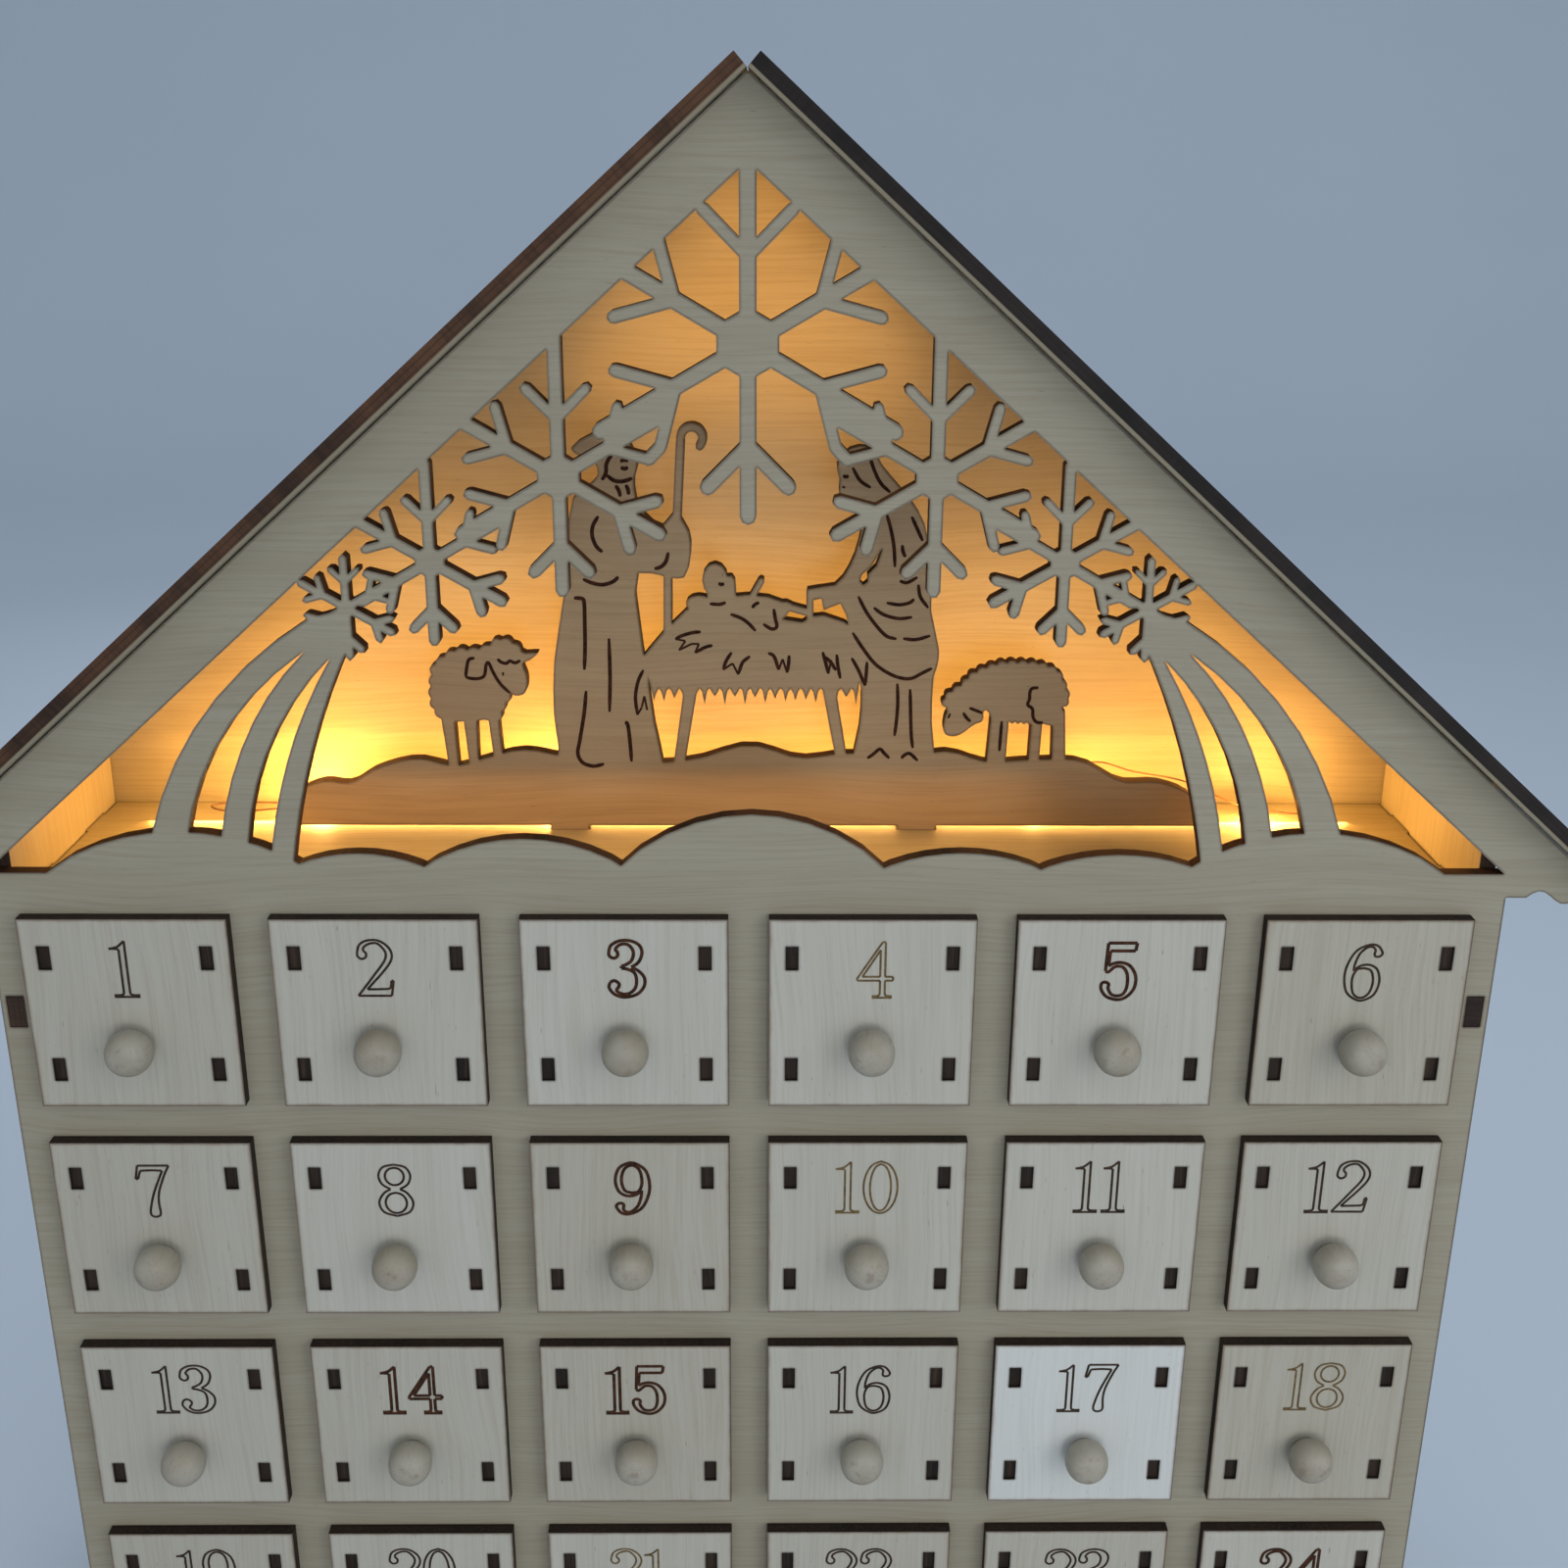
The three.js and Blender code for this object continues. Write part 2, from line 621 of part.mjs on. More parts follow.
// A line in small round curls, which bulge to the right of the way it runs
function woolly(points, curls) {
  if (curls === 0) return points;
  const line = new THREE.CatmullRomCurve3(points.map(([x, z]) => new THREE.Vector3(x, z, 0)));
  const curlSteps = 4;
  const edge = [];
  for (let i = 0; i <= curls * curlSteps; i += 1) {
    const along = i / (curls * curlSteps);
    const ahead = line.getTangentAt(along);
    const bulge = curlShare * sheepLength * Math.sin((Math.PI * (i % curlSteps)) / curlSteps);
    const { x, y } = line.getPointAt(along);
    edge.push([x + ahead.y * bulge, y - ahead.x * bulge]);
  }
  return edge;
}

function sheep({ foot, fleece, headShares, legShares }) {
  const at = [(foot[0] * sceneWidth) / 2, sceneGround];
  const edge = fleece.flatMap(({ curls, shares }) => woolly(placed(shares, at, sheepLength), curls));
  const head = smoothOutline(placed(headShares, at, sheepLength), 2);
  const legs = legShares.map(([[top, topWidth], [low, footWidth]]) => post(
    placed([[top, sheepLegTopShare]], at, sheepLength)[0],
    [at[0] + low * sheepLength, footBottom],
    topWidth * sheepLength, footWidth * sheepLength,
  ));
  return join([sceneSheet(outline(edge)), sceneSheet(head), ...legs]);
}

// Man in a robe and head cloth, with a sleeve reaching to the crook
const manShares = [
  [-0.165, -0.06], [-0.168, 0.03], [-0.178, 0.136], [-0.171, 0.303], [-0.136, 0.5], [-0.117, 0.667],
  [-0.097, 0.8],
  [-0.042, 0.843], [-0.022, 0.872], [-0.032, 0.905], [-0.078, 0.925], [-0.098, 0.945], [-0.04, 0.985],
  [0.012, 0.999], [0.062, 0.972], [0.088, 0.93], [0.094, 0.892], [0.084, 0.858], [0.088, 0.8],
  [0.11, 0.755], [0.164, 0.717], [0.198, 0.757], [0.242, 0.7], [0.247, 0.636], [0.226, 0.563],
  [0.175, 0.564], [0.09, 0.576], [0.09, 0.424], [0.112, 0.25], [0.131, 0.1], [0.15, 0], [0.15, -0.06],
];
const crookShares = {
  foot: [0.173, 0.3],
  underHand: [0.178, 0.6],
  overHand: [0.205, 0.7],
  neck: [0.22, 0.965],
  bend: [0.253, 0.975],
  radius: 0.033,
  stroke: 0.0255,
  hookTurn: 1.25,                  // of a half turn
};

function man() {
  const at = [(manPlaceShare * sceneWidth) / 2, sceneGround];
  const point = (share) => placed([share], at, manHeight)[0];
  const width = crookShares.stroke * manHeight;
  const bodies = [sceneSheet(smoothOutline(placed(manShares, at, manHeight), 2))];
  const { foot, underHand, overHand, neck } = crookShares;
  for (const ends of [[foot, underHand], [overHand, neck]]) {
    bodies.push(stroke(...ends.map(point), width, sceneFront, ply));
  }
  const hookSteps = 7;
  const hook = [];
  for (let i = 0; i <= hookSteps; i += 1) {
    const angle = Math.PI * (1 - (crookShares.hookTurn * i) / hookSteps);
    hook.push(polar(point(crookShares.bend), crookShares.radius * manHeight, angle));
  }
  for (let i = 0; i < hookSteps; i += 1) {
    bodies.push(stroke(hook[i], hook[i + 1], width, sceneFront, ply));
  }
  return join(bodies);
}

// Child on hay in a manger with two slanting legs
const hayTopShares = [
  [-0.52, 0.5], [-0.42, 0.62], [-0.31, 0.73], [-0.14, 0.77], [0.04, 0.74], [0.12, 0.69],
  [0.24, 0.672], [0.28, 0.7], [0.34, 0.706], [0.44, 0.672], [0.53, 0.6], [0.53, 0.5],
];
const hayBlades = 20;
const hayFringeShares = { start: -0.47, end: 0.5, edge: 0.345, drop: 0.062, unevenness: 0.35, rhythm: 2.3 };
const childOvalShares = [          // middle, then half width and half height
  [-0.173, 0.872, 0.061, 0.081],   // head
  [-0.249, 0.758, 0.062, 0.042],   // pillow
  [-0.02, 0.728, 0.2, 0.075],      // body
];
const childStrokeShares = [        // two ends, then the width
  [[-0.173, 0.84], [-0.16, 0.76], 0.09],
  [[-0.106, 0.87], [-0.1, 0.78], 0.054],
  [[0.0, 0.79], [0.045, 0.87], 0.03],
  [[0.06, 0.735], [0.167, 0.745], 0.052],
  [[0.167, 0.745], [0.274, 0.715], 0.036],
  [[0.274, 0.671], [0.274, 0.79], 0.032],
];
const mangerLegShares = {
  places: [[-0.285, -0.362], [0.359, 0.448]],
  top: 0.4,
  width: 0.066,
  footWidth: 0.055,
};

function manger() {
  const at = [(mangerPlaceShare * sceneWidth) / 2, sceneGround];
  const point = ([across, up]) => [at[0] + across * mangerLength, at[1] + up * mangerLength];
  const { start, end, edge, drop, unevenness, rhythm } = hayFringeShares;
  const fringe = [];
  const bladeSteps = 4;            // each blade ends in a point, with a round notch beside it
  for (let i = 0; i <= hayBlades * bladeSteps; i += 1) {
    const tip = 1 - Math.sin((Math.PI * (i % bladeSteps)) / bladeSteps);
    const blade = tip * (1 + unevenness * Math.sin(i * rhythm));
    fringe.push(point([start + (end - start) * (i / (hayBlades * bladeSteps)), edge - drop * blade]));
  }
  const hay = sceneSheet(outline([...fringe, ...hayTopShares.map(point).reverse()]));
  const ovals = childOvalShares.map(([x, z, across, up]) => (
    oval(point([x, z]), across * mangerLength, up * mangerLength)
  ));
  const limbs = childStrokeShares.map(([from, to, width]) => (
    stroke(point(from), point(to), width * mangerLength, sceneFront, ply)
  ));
  const legs = mangerLegShares.places.map(([top, low]) => post(
    point([top, mangerLegShares.top]), [point([low, 0])[0], footBottom],
    mangerLength * mangerLegShares.width, mangerLength * mangerLegShares.footWidth,
  ));
  return join([hay, ...ovals, ...limbs, ...legs]);
}

// Woman in a long veil, bending over the manger with both hands out
const womanShares = [
  [-0.125, -0.06], [-0.115, 0.1], [-0.11, 0.22], [-0.152, 0.42], [-0.183, 0.512], [-0.235, 0.49],
  [-0.243, 0.528], [-0.283, 0.52], [-0.287, 0.558], [-0.2, 0.572], [-0.155, 0.632], [-0.128, 0.71],
  [-0.12, 0.79], [-0.15, 0.835], [-0.19, 0.85], [-0.19, 0.9], [-0.2, 0.95], [-0.16, 1.0],
  [-0.1, 1.005], [-0.058, 0.945], [-0.022, 0.902], [0.035, 0.836], [0.077, 0.766], [0.106, 0.6],
  [0.106, 0.49], [0.136, 0.36], [0.132, 0.31], [0.121, 0.27], [0.12, 0.12], [0.12, -0.06],
];
const sleeveGapShares = [
  [-0.052, 0.69], [-0.071, 0.634], [-0.098, 0.606], [-0.097, 0.584], [-0.11, 0.572], [-0.122, 0.584],
  [-0.117, 0.604], [-0.088, 0.63], [-0.062, 0.676],
];

function woman() {
  const at = [(womanPlaceShare * sceneWidth) / 2, sceneGround];
  const figure = sceneSheet(smoothOutline(placed(womanShares, at, womanHeight), 2));
  const sleeveGap = outline(placed(sleeveGapShares, at, womanHeight));
  const gap = upright(sleeveGap, sceneFront - overrun, ply + 2 * overrun);
  return figure.subtract(gap);
}

const scene = join([ground(), sheep(standingSheep), man(), manger(), woman(), sheep(grazingSheep)]);
house.add(piece('scene_plate', geometryOf(scene), sceneBirch));

// String of lamps
// A thin wire that comes through the back panel, turns at the left end of the loft and runs along
// behind the scene. Small resin beads hold the lamps at even spaces. The wire lies on the loft floor
// and stands up in low arches between the beads.

const lampRouteShares = [          // across: half the loft, back: the bay behind the scene, up: hole rise
  [-0.2, 0.84, 0.92], [-0.25, 0.74, 0.45], [-0.34, 0.72, 0.16], [-0.44, 0.74, 0.16], [-0.53, 0.7, 0.45],
  [-0.63, 0.74, 0.16], [-0.73, 0.72, 0.16], [-0.8, 0.71, 0.18], [-0.835, 0.5, 0.2], [-0.8, 0.29, 0.18],
  [-0.72, 0.27, 0.3], [-0.62, 0.31, 0.6], [-0.51, 0.27, 0.16], [-0.4, 0.3, 0.16], [-0.3, 0.27, 0.4],
  [-0.19, 0.31, 0.16], [-0.07, 0.28, 0.2], [0.04, 0.3, 0.75], [0.15, 0.27, 0.2], [0.25, 0.3, 0.16],
  [0.35, 0.28, 0.35], [0.44, 0.3, 0.9], [0.52, 0.31, 1.75], [0.59, 0.33, 1.45], [0.67, 0.31, 1.15],
  [0.75, 0.3, 0.45], [0.83, 0.3, 0.16], [0.9, 0.3, 0.16],
];

function lampString() {
  const bayFront = sceneFront + ply;
  const bay = backFace - bayFront;
  const holeLevel = floorTop + wireHoleRise;
  const entry = [backFace + ply, backFace].map((y) => new THREE.Vector3(wireHoleX, y, holeLevel));
  const route = lampRouteShares.map(([across, back, up]) => new THREE.Vector3(
    across * wallInner, bayFront + back * bay, floorTop + up * wireHoleRise,
  ));
  const path = new THREE.CatmullRomCurve3([...entry, ...route]);
  const rim = [...Array(wireSides).keys()].map((i) => (
    polar([0, 0], wireDiameter / 2, (2 * Math.PI * i) / wireSides)
  ));
  const wireSteps = 62;
  const wire = new THREE.ExtrudeGeometry(outline(rim), {
    steps: wireSteps, extrudePath: path, bevelEnabled: false,
  });
  const bodies = [solid(wire)];
  const length = path.getLength();
  const beadSides = 6;
  const beadRings = 4;
  for (let along = beadSpacing; along < length; along += beadSpacing) {
    const bead = new THREE.SphereGeometry(beadDiameter / 2, beadSides, beadRings);
    bead.scale(1, beadLength / beadDiameter, 1);
    bead.applyQuaternion(new THREE.Quaternion().setFromUnitVectors(
      new THREE.Vector3(0, 1, 0), path.getTangentAt(along / length),
    ));
    const at = path.getPointAt(along / length);
    bead.translate(at.x, at.y, Math.max(at.z, floorTop + fitGap + beadDiameter / 2));
    bodies.push(solid(bead));
  }
  return join(bodies);
}

house.add(piece('light_string', geometryOf(lampString()), lampResin));

// Battery box on the back panel, with its slide switch on top

function roundedRectangle(width, height, radius) {
  const cornerSteps = 4;
  const points = [];
  const corners = [[1, 1], [-1, 1], [-1, -1], [1, -1]];
  corners.forEach(([sx, sz], quarter) => {
    const centre = [sx * (width / 2 - radius), sz * (height / 2 - radius)];
    for (let i = 0; i <= cornerSteps; i += 1) {
      points.push(polar(centre, radius, (Math.PI / 2) * (quarter + i / cornerSteps)));
    }
  });
  return points;
}

const boxMiddle = floorTop + (boxHeight - boxCorner) / 2;
const boxTop = boxMiddle + boxHeight / 2;
const switchY = boxFront + boxDepth / 2;
const switchRest = -switchTravel / 2;

function batteryBox() {
  const rim = (width, height, radius) => roundedRectangle(width, height, radius)
    .map(([x, z]) => [x, z + boxMiddle]);
  const shell = upright(outline(rim(boxWidth, boxHeight, boxCorner)), boxFront, boxDepth);
  const lidWidth = boxWidth - 2 * boxLidMargin;
  const lidHeight = boxHeight - 2 * boxLidMargin;
  const grooveFront = boxFront + boxDepth - boxLidGroove;
  const outer = upright(
    outline(rim(lidWidth, lidHeight, boxCorner)), grooveFront, boxLidGroove + overrun,
  );
  const inner = upright(
    outline(rim(lidWidth - 2 * boxLidGroove, lidHeight - 2 * boxLidGroove, boxCorner - boxLidGroove)),
    grooveFront - overrun, boxLidGroove + 2 * overrun,
  );
  const seatHalf = (switchLength + switchTravel) / 2 + fitGap;
  const seat = block(
    -seatHalf, seatHalf, switchY - switchWidth / 2 - fitGap, switchY + switchWidth / 2 + fitGap,
    boxTop - switchSeatDepth, boxTop + overrun,
  );
  return shell.subtract(outer.subtract(inner)).subtract(seat);
}

house.add(piece('battery_box', geometryOf(batteryBox()), blackPlastic));

function slideSwitch() {
  const foot = boxTop - switchSeatDepth + fitGap;
  const ridgeCount = 3;
  const bodies = [block(
    -switchLength / 2, switchLength / 2, -switchWidth / 2, switchWidth / 2, foot, foot + switchHeight,
  )];
  for (let i = 0; i < ridgeCount; i += 1) {
    const x = (i - (ridgeCount - 1) / 2) * (switchLength / (ridgeCount + 1));
    const half = switchLength / (4 * (ridgeCount + 1));
    bodies.push(block(
      x - half, x + half, -switchWidth / 2, switchWidth / 2, foot, foot + switchHeight + 2 * half,
    ));
  }
  return join(bodies);
}

const lightSwitch = piece('light_switch', geometryOf(slideSwitch()), blackPlastic);
lightSwitch.position.set(switchRest, switchY, 0);
house.add(lightSwitch);

// Drawers
// Each drawer is an open tray behind a lapped front. The tray's side boards plug through the front,
// where their ends lie a little below the surface. The knob's peg sits in a hole in the front.
// The local origin is the middle of the front's back face.

const trayFoot = fitGap - windowHeight / 2;
const knobZ = -trayHeight * knobDropShare;
const knobPegLength = drawerPly * knobPegShare;

function drawerBody() {
  const halfTray = trayWidth / 2;
  const front = block(-frontWidth / 2, frontWidth / 2, -drawerPly, 0, -frontHeight / 2, frontHeight / 2);
  const tray = block(-halfTray, halfTray, -drawerPly / 2, trayLength, trayFoot, trayFoot + trayHeight);
  const hollow = block(
    drawerPly - halfTray, halfTray - drawerPly, 0, trayLength - drawerPly,
    trayFoot + drawerPly, trayFoot + trayHeight + overrun,
  );
  const slots = sides.flatMap((side) => sides.map((end) => {
    const x = side * (halfTray - drawerPly / 2);
    const z = end * trayHeight * frontSlotRiseShare;
    return block(
      x - frontSlotWidth / 2, x + frontSlotWidth / 2, -drawerPly - overrun, frontSlotDepth - drawerPly,
      z - frontSlotHeight / 2, z + frontSlotHeight / 2,
    );
  }));
  const bore = knobPegDiameter / 2 + slotPlay;
  const pegHole = new THREE.CylinderGeometry(bore, bore, knobPegLength + fitGap + overrun, knobSides);
  pegHole.translate(0, knobPegLength + fitGap - drawerPly - (knobPegLength + fitGap + overrun) / 2, knobZ);
  return join([front, tray]).subtract(join([hollow, ...slots, solid(pegHole)]));
}

// Turned knob: a peg, a short neck and a round head with a slightly flat nose
function knobGeometry() {
  const headRadius = knobDiameter / 2;
  const neck = knobReach * knobNeckShare;
  const headHalf = (knobReach - neck) / 2;
  const profile = [
    [0, -knobPegLength], [knobPegDiameter / 2, -knobPegLength], [knobPegDiameter / 2, fitGap / 2],
    [knobNeckDiameter / 2, fitGap / 2], [knobNeckDiameter / 2, neck],
  ];
  const headSteps = 4;
  for (let i = 1; i < headSteps; i += 1) {
    const angle = (Math.PI * i) / headSteps - Math.PI / 2;
    profile.push([
      headRadius * Math.cos(angle) ** knobFullnessShare,
      neck + headHalf * (1 + Math.sin(angle)),
    ]);
  }
  profile.push([0, knobReach]);
  const knob = new THREE.LatheGeometry(profile.map(([x, y]) => new THREE.Vector2(x, y)), knobSides);
  knob.rotateX(Math.PI);
  return geometryOf(solid(knob));
}

const drawerGeometry = geometryOf(drawerBody());
const turnedKnob = knobGeometry();

for (let row = 0; row < rows; row += 1) {
  for (let column = 0; column < columns; column += 1) {
    const number = String(row * columns + column + 1).padStart(2, '0');
    const drawer = new THREE.Group();
    drawer.position.set(columnX(column), -fitGap, drawerMiddle(row));
    const knob = piece(`knob_${number}`, turnedKnob, turnedWood);
    knob.position.set(0, -drawerPly, knobZ);
    drawer.add(piece(`drawer_${number}`, drawerGeometry, drawerBirch), knob);
    house.add(drawer);
  }
}

export default house;
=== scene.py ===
import math

import bpy
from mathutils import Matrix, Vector


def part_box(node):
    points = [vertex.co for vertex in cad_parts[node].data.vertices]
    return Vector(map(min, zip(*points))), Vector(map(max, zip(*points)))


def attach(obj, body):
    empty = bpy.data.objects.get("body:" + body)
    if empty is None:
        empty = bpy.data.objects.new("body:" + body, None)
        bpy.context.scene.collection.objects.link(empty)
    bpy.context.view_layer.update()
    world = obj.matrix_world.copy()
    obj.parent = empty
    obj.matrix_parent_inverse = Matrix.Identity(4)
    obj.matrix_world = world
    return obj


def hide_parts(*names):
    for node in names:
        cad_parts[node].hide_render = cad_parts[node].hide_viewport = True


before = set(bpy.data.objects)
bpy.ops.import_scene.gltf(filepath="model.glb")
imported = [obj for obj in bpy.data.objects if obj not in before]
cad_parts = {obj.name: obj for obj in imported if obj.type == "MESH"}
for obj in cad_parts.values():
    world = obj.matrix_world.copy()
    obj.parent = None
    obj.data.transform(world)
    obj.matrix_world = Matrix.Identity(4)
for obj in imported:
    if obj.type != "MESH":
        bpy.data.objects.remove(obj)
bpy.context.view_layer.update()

# Front panel: one sheet of laser-cut birch plywood with the house's outline, the gable's snowflakes,
# and a window behind each drawer front. Its veneer runs level. The laser leaves the cut edges scorched.

ply = 0.003
rim_scorch_and_shade = 0.0008                  # how far from a cut the face is darkened: the laser's scorch, and on the front panel's slopes a painted shadow line under the roof boards
grain_depth, grain_sway = 0.0001, 0.008
square_on = 0.6                    # how squarely a spot has to face a board's way to be on its face


def srgb(red, green, blue):
    """A colour picked in 0 to 255 steps, as the light values that a material takes."""
    parts = [part / 255 for part in (red, green, blue)]
    return [((part + 0.055) / 1.055) ** 2.4 if part > 0.04 else part / 12.92 for part in parts] + [1]


def step(tree, kind, inputs=(), **settings):
    """One step of a finish: a node with its settings, and its inputs as numbers or as earlier results."""
    node = tree.nodes.new("ShaderNode" + kind)
    for key, value in settings.items():
        setattr(node, key, value)
    for key, value in dict(inputs).items():
        if isinstance(value, bpy.types.NodeSocket):
            tree.links.new(value, node.inputs[key])
        else:
            node.inputs[key].default_value = value
    return node


def reckon(tree, operation, first, second=0.0, third=0.0):
    return step(tree, "Math", {0: first, 1: second, 2: third}, operation=operation).outputs[0]


def reach(tree, point, direction):
    """How far a point lies along a direction."""
    return step(tree, "VectorMath", {0: point, 1: direction}, operation="DOT_PRODUCT").outputs["Value"]


def fade(tree, value, low, high, to=1.0):
    """0 below low, and rising smoothly to its full share at high."""
    return step(
        tree, "MapRange", {"Value": value, "From Min": low, "From Max": high, "To Max": to},
        interpolation_type="SMOOTHSTEP",
    ).outputs["Result"]


def figure(tree, place, stretch, detail=3.0, roughness=0.55):
    """Uneven growth, drawn out along the grain: stretch is in turns per metre on each axis."""
    drawn = step(tree, "VectorMath", {0: place, 1: stretch}, operation="MULTIPLY").outputs[0]
    return step(
        tree, "TexNoise", {"Vector": drawn, "Scale": 1.0, "Detail": detail, "Roughness": roughness},
    ).outputs["Fac"]


def stain(tree, share, under, over):
    """Two colours laid over each other, where share is how much of the second one shows."""
    return step(tree, "Mix", {0: share, 6: under, 7: over}, data_type="RGBA").outputs[2]


def new_finish(name):
    material = bpy.data.materials.new(name)
    material.use_nodes = True
    return material, material.node_tree, material.node_tree.nodes["Principled BSDF"]


def veneer(tree, place, pale, deep, pore):
    """Birch face veneer: broad soft bands, fine streaks and short dark pores along the first axis."""
    sway = figure(tree, place, (16, 30, 30), detail=1.0)
    bent = step(tree, "CombineXYZ", {1: reckon(tree, "MULTIPLY", sway, grain_sway)}).outputs[0]
    place = step(tree, "VectorMath", {0: place, 1: bent}, operation="ADD").outputs[0]
    bands = figure(tree, place, (7, 130, 130), detail=3.0)
    streaks = figure(tree, place, (38, 1500, 1500), detail=4.0, roughness=0.7)
    pores = figure(tree, place, (380, 3600, 3600), detail=1.0)
    colour = stain(tree, fade(tree, bands, 0.25, 0.8, to=0.4), pale, deep)
    colour = stain(tree, fade(tree, streaks, 0.4, 0.7, to=0.6), colour, deep)
    dark = fade(tree, pores, 0.72, 0.84, to=0.6)
    return stain(tree, dark, colour, pore), streaks, dark


def scorch(tree, place, layer, light, dark):
    """
    A cut edge: scorched across the sheet in fine strokes, with a darker glue line on each side of the
    core. layer is how deep in the sheet a spot lies, from 0 at its face to 1 at its back.
    """
    strokes = figure(tree, place, (1900, 1900, 150), detail=2.0)
    clouds = figure(tree, place, (85, 85, 40), detail=2.0)
    core = reckon(tree, "ABSOLUTE", reckon(tree, "SUBTRACT", layer, 0.5))
    from_glue = reckon(tree, "ABSOLUTE", reckon(tree, "SUBTRACT", core, 0.17))
    glue = reckon(tree, "SUBTRACT", 1.0, fade(tree, from_glue, 0.0, 0.07))
    burn = reckon(tree, "ADD", reckon(tree, "MULTIPLY", strokes, 0.3), reckon(tree, "MULTIPLY", clouds, 0.8))
    colour = stain(tree, fade(tree, burn, 0.35, 0.8), light, dark)
    return stain(tree, reckon(tree, "MULTIPLY", glue, 0.6), colour, dark)


def near_cut(tree):
    """
    How near a spot is to a cut: rises from 0, where the darkened rim of laser scorch and painted shade ends,
    to a little under 0.3 at the edge itself.
    """
    rounded = step(tree, "Bevel", {"Radius": rim_scorch_and_shade}, samples=4).outputs[0]
    flat = step(tree, "NewGeometry").outputs["True Normal"]
    return reckon(tree, "SUBTRACT", 1.0, reach(tree, rounded, flat))


def sand(tree, shader, streaks, pores):
    """Sanded veneer: its open grain can be felt, and it hardly shines."""
    relief = reckon(tree, "SUBTRACT", reckon(tree, "MULTIPLY", streaks, 0.6), pores)
    bump = step(tree, "Bump", {"Strength": 0.35, "Distance": grain_depth, "Height": relief})
    tree.links.new(bump.outputs[0], shader.inputs["Normal"])
    shader.inputs["Specular IOR Level"].default_value = 0.3


def plywood(name, grain, face, front, pale, deep, light_char, dark_char, bare=None, inside=None):
    """
    Plywood whose grain runs along grain, with faces square to face. front is how far its outer face
    lies that way. bare is the share of its depth from which its cut edges are no longer charred, and
    inside gives its inner face's colours.
    """
    grain, face = Vector(grain).normalized(), Vector(face).normalized()
    material, tree, shader = new_finish(name)
    point = step(tree, "TexCoord").outputs["Object"]
    depth = reach(tree, point, face)
    along, aside = reach(tree, point, grain), reach(tree, point, face.cross(grain))
    place = step(tree, "CombineXYZ", {0: along, 1: aside, 2: depth}).outputs[0]
    facing = reckon(tree, "ABSOLUTE", reach(tree, step(tree, "NewGeometry").outputs["Normal"], face))
    cut = reckon(tree, "LESS_THAN", facing, square_on)
    layer = reckon(tree, "DIVIDE", reckon(tree, "SUBTRACT", front, depth), ply)
    if inside:
        inner = reckon(tree, "GREATER_THAN", layer, 0.5)
        pale, deep = [stain(tree, inner, *tones) for tones in zip((pale, deep), inside)]
    wood, streaks, pores = veneer(tree, place, pale, deep, srgb(112, 92, 66))
    # the face darkens towards each cut: laser scorch, and where the roof boards lie on the front panel's
    # slopes also a painted shadow line
    wood = stain(tree, fade(tree, near_cut(tree), 0.004, 0.07, to=0.9), wood, srgb(50, 33, 21))
    edge = scorch(tree, place, layer, light_char, dark_char)
    if bare:
        edge = stain(tree, fade(tree, layer, bare - 0.04, bare + 0.04, to=0.9), edge, deep)
    tree.links.new(stain(tree, cut, wood, edge), shader.inputs["Base Color"])
    rough = reckon(tree, "MULTIPLY_ADD", streaks, 0.2, 0.52)
    tree.links.new(reckon(tree, "MULTIPLY_ADD", cut, 0.12, rough), shader.inputs["Roughness"])
    sand(tree, shader, streaks, pores)
    return material


def dress(material, *nodes):
    """Gives these boards their finish."""
    for node in nodes:
        for place in bpy.data.objects[node].material_slots:
            place.material = material


panel_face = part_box("front_panel")[0].y
birch_pale, birch_deep = srgb(151, 146, 130), srgb(133, 125, 106)
loft_pale, loft_deep = srgb(156, 146, 118), srgb(138, 125, 94)
char_light, char_dark = srgb(92, 58, 34), srgb(34, 20, 12)
dress(
    plywood("birch panel", (1, 0, 0), (0, -1, 0), -panel_face, birch_pale, birch_deep, char_light, char_dark),
    "front_panel",
)

# Back panel, side walls and loft floor: the same birch sheet. Tabs on the ends of the walls and of
# the floor are glued into slots of the panels, so their scorched ends show from outside.

back_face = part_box("back_panel")[1].y
dress(
    plywood(
        "birch back", (1, 0, 0), (0, 1, 0), back_face, birch_pale, birch_deep, char_light, char_dark,
        inside=(loft_pale, loft_deep),
    ),
    "back_panel",
)
for side, node in ((-1, "left_wall"), (1, "right_wall")):
    outer = max(abs(corner.x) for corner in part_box(node))
    # the walls' cut edges, and with them the tabs' ends in the front panel's slots, are coloured darker than
    # the other boards' cut edges
    dress(
        plywood(
            f"birch {node}", (0, 0, 1), (side, 0, 0), outer, birch_pale, birch_deep,
            srgb(70, 50, 36), srgb(26, 17, 12), inside=(loft_pale, loft_deep),
        ),
        node,
    )
floor_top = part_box("loft_floor")[1].z
dress(
    plywood("birch loft floor", (1, 0, 0), (0, 0, 1), floor_top, loft_pale, loft_deep, char_light, char_dark),
    "loft_floor",
)

# Drawer grid: base board, three shelves and five dividers of the same sheet, slotted into each other
# and glued. Their edges, and the tabs' ends that show outside the walls, are scorched.

char_depth = 0.0003                # of the tabs' ends


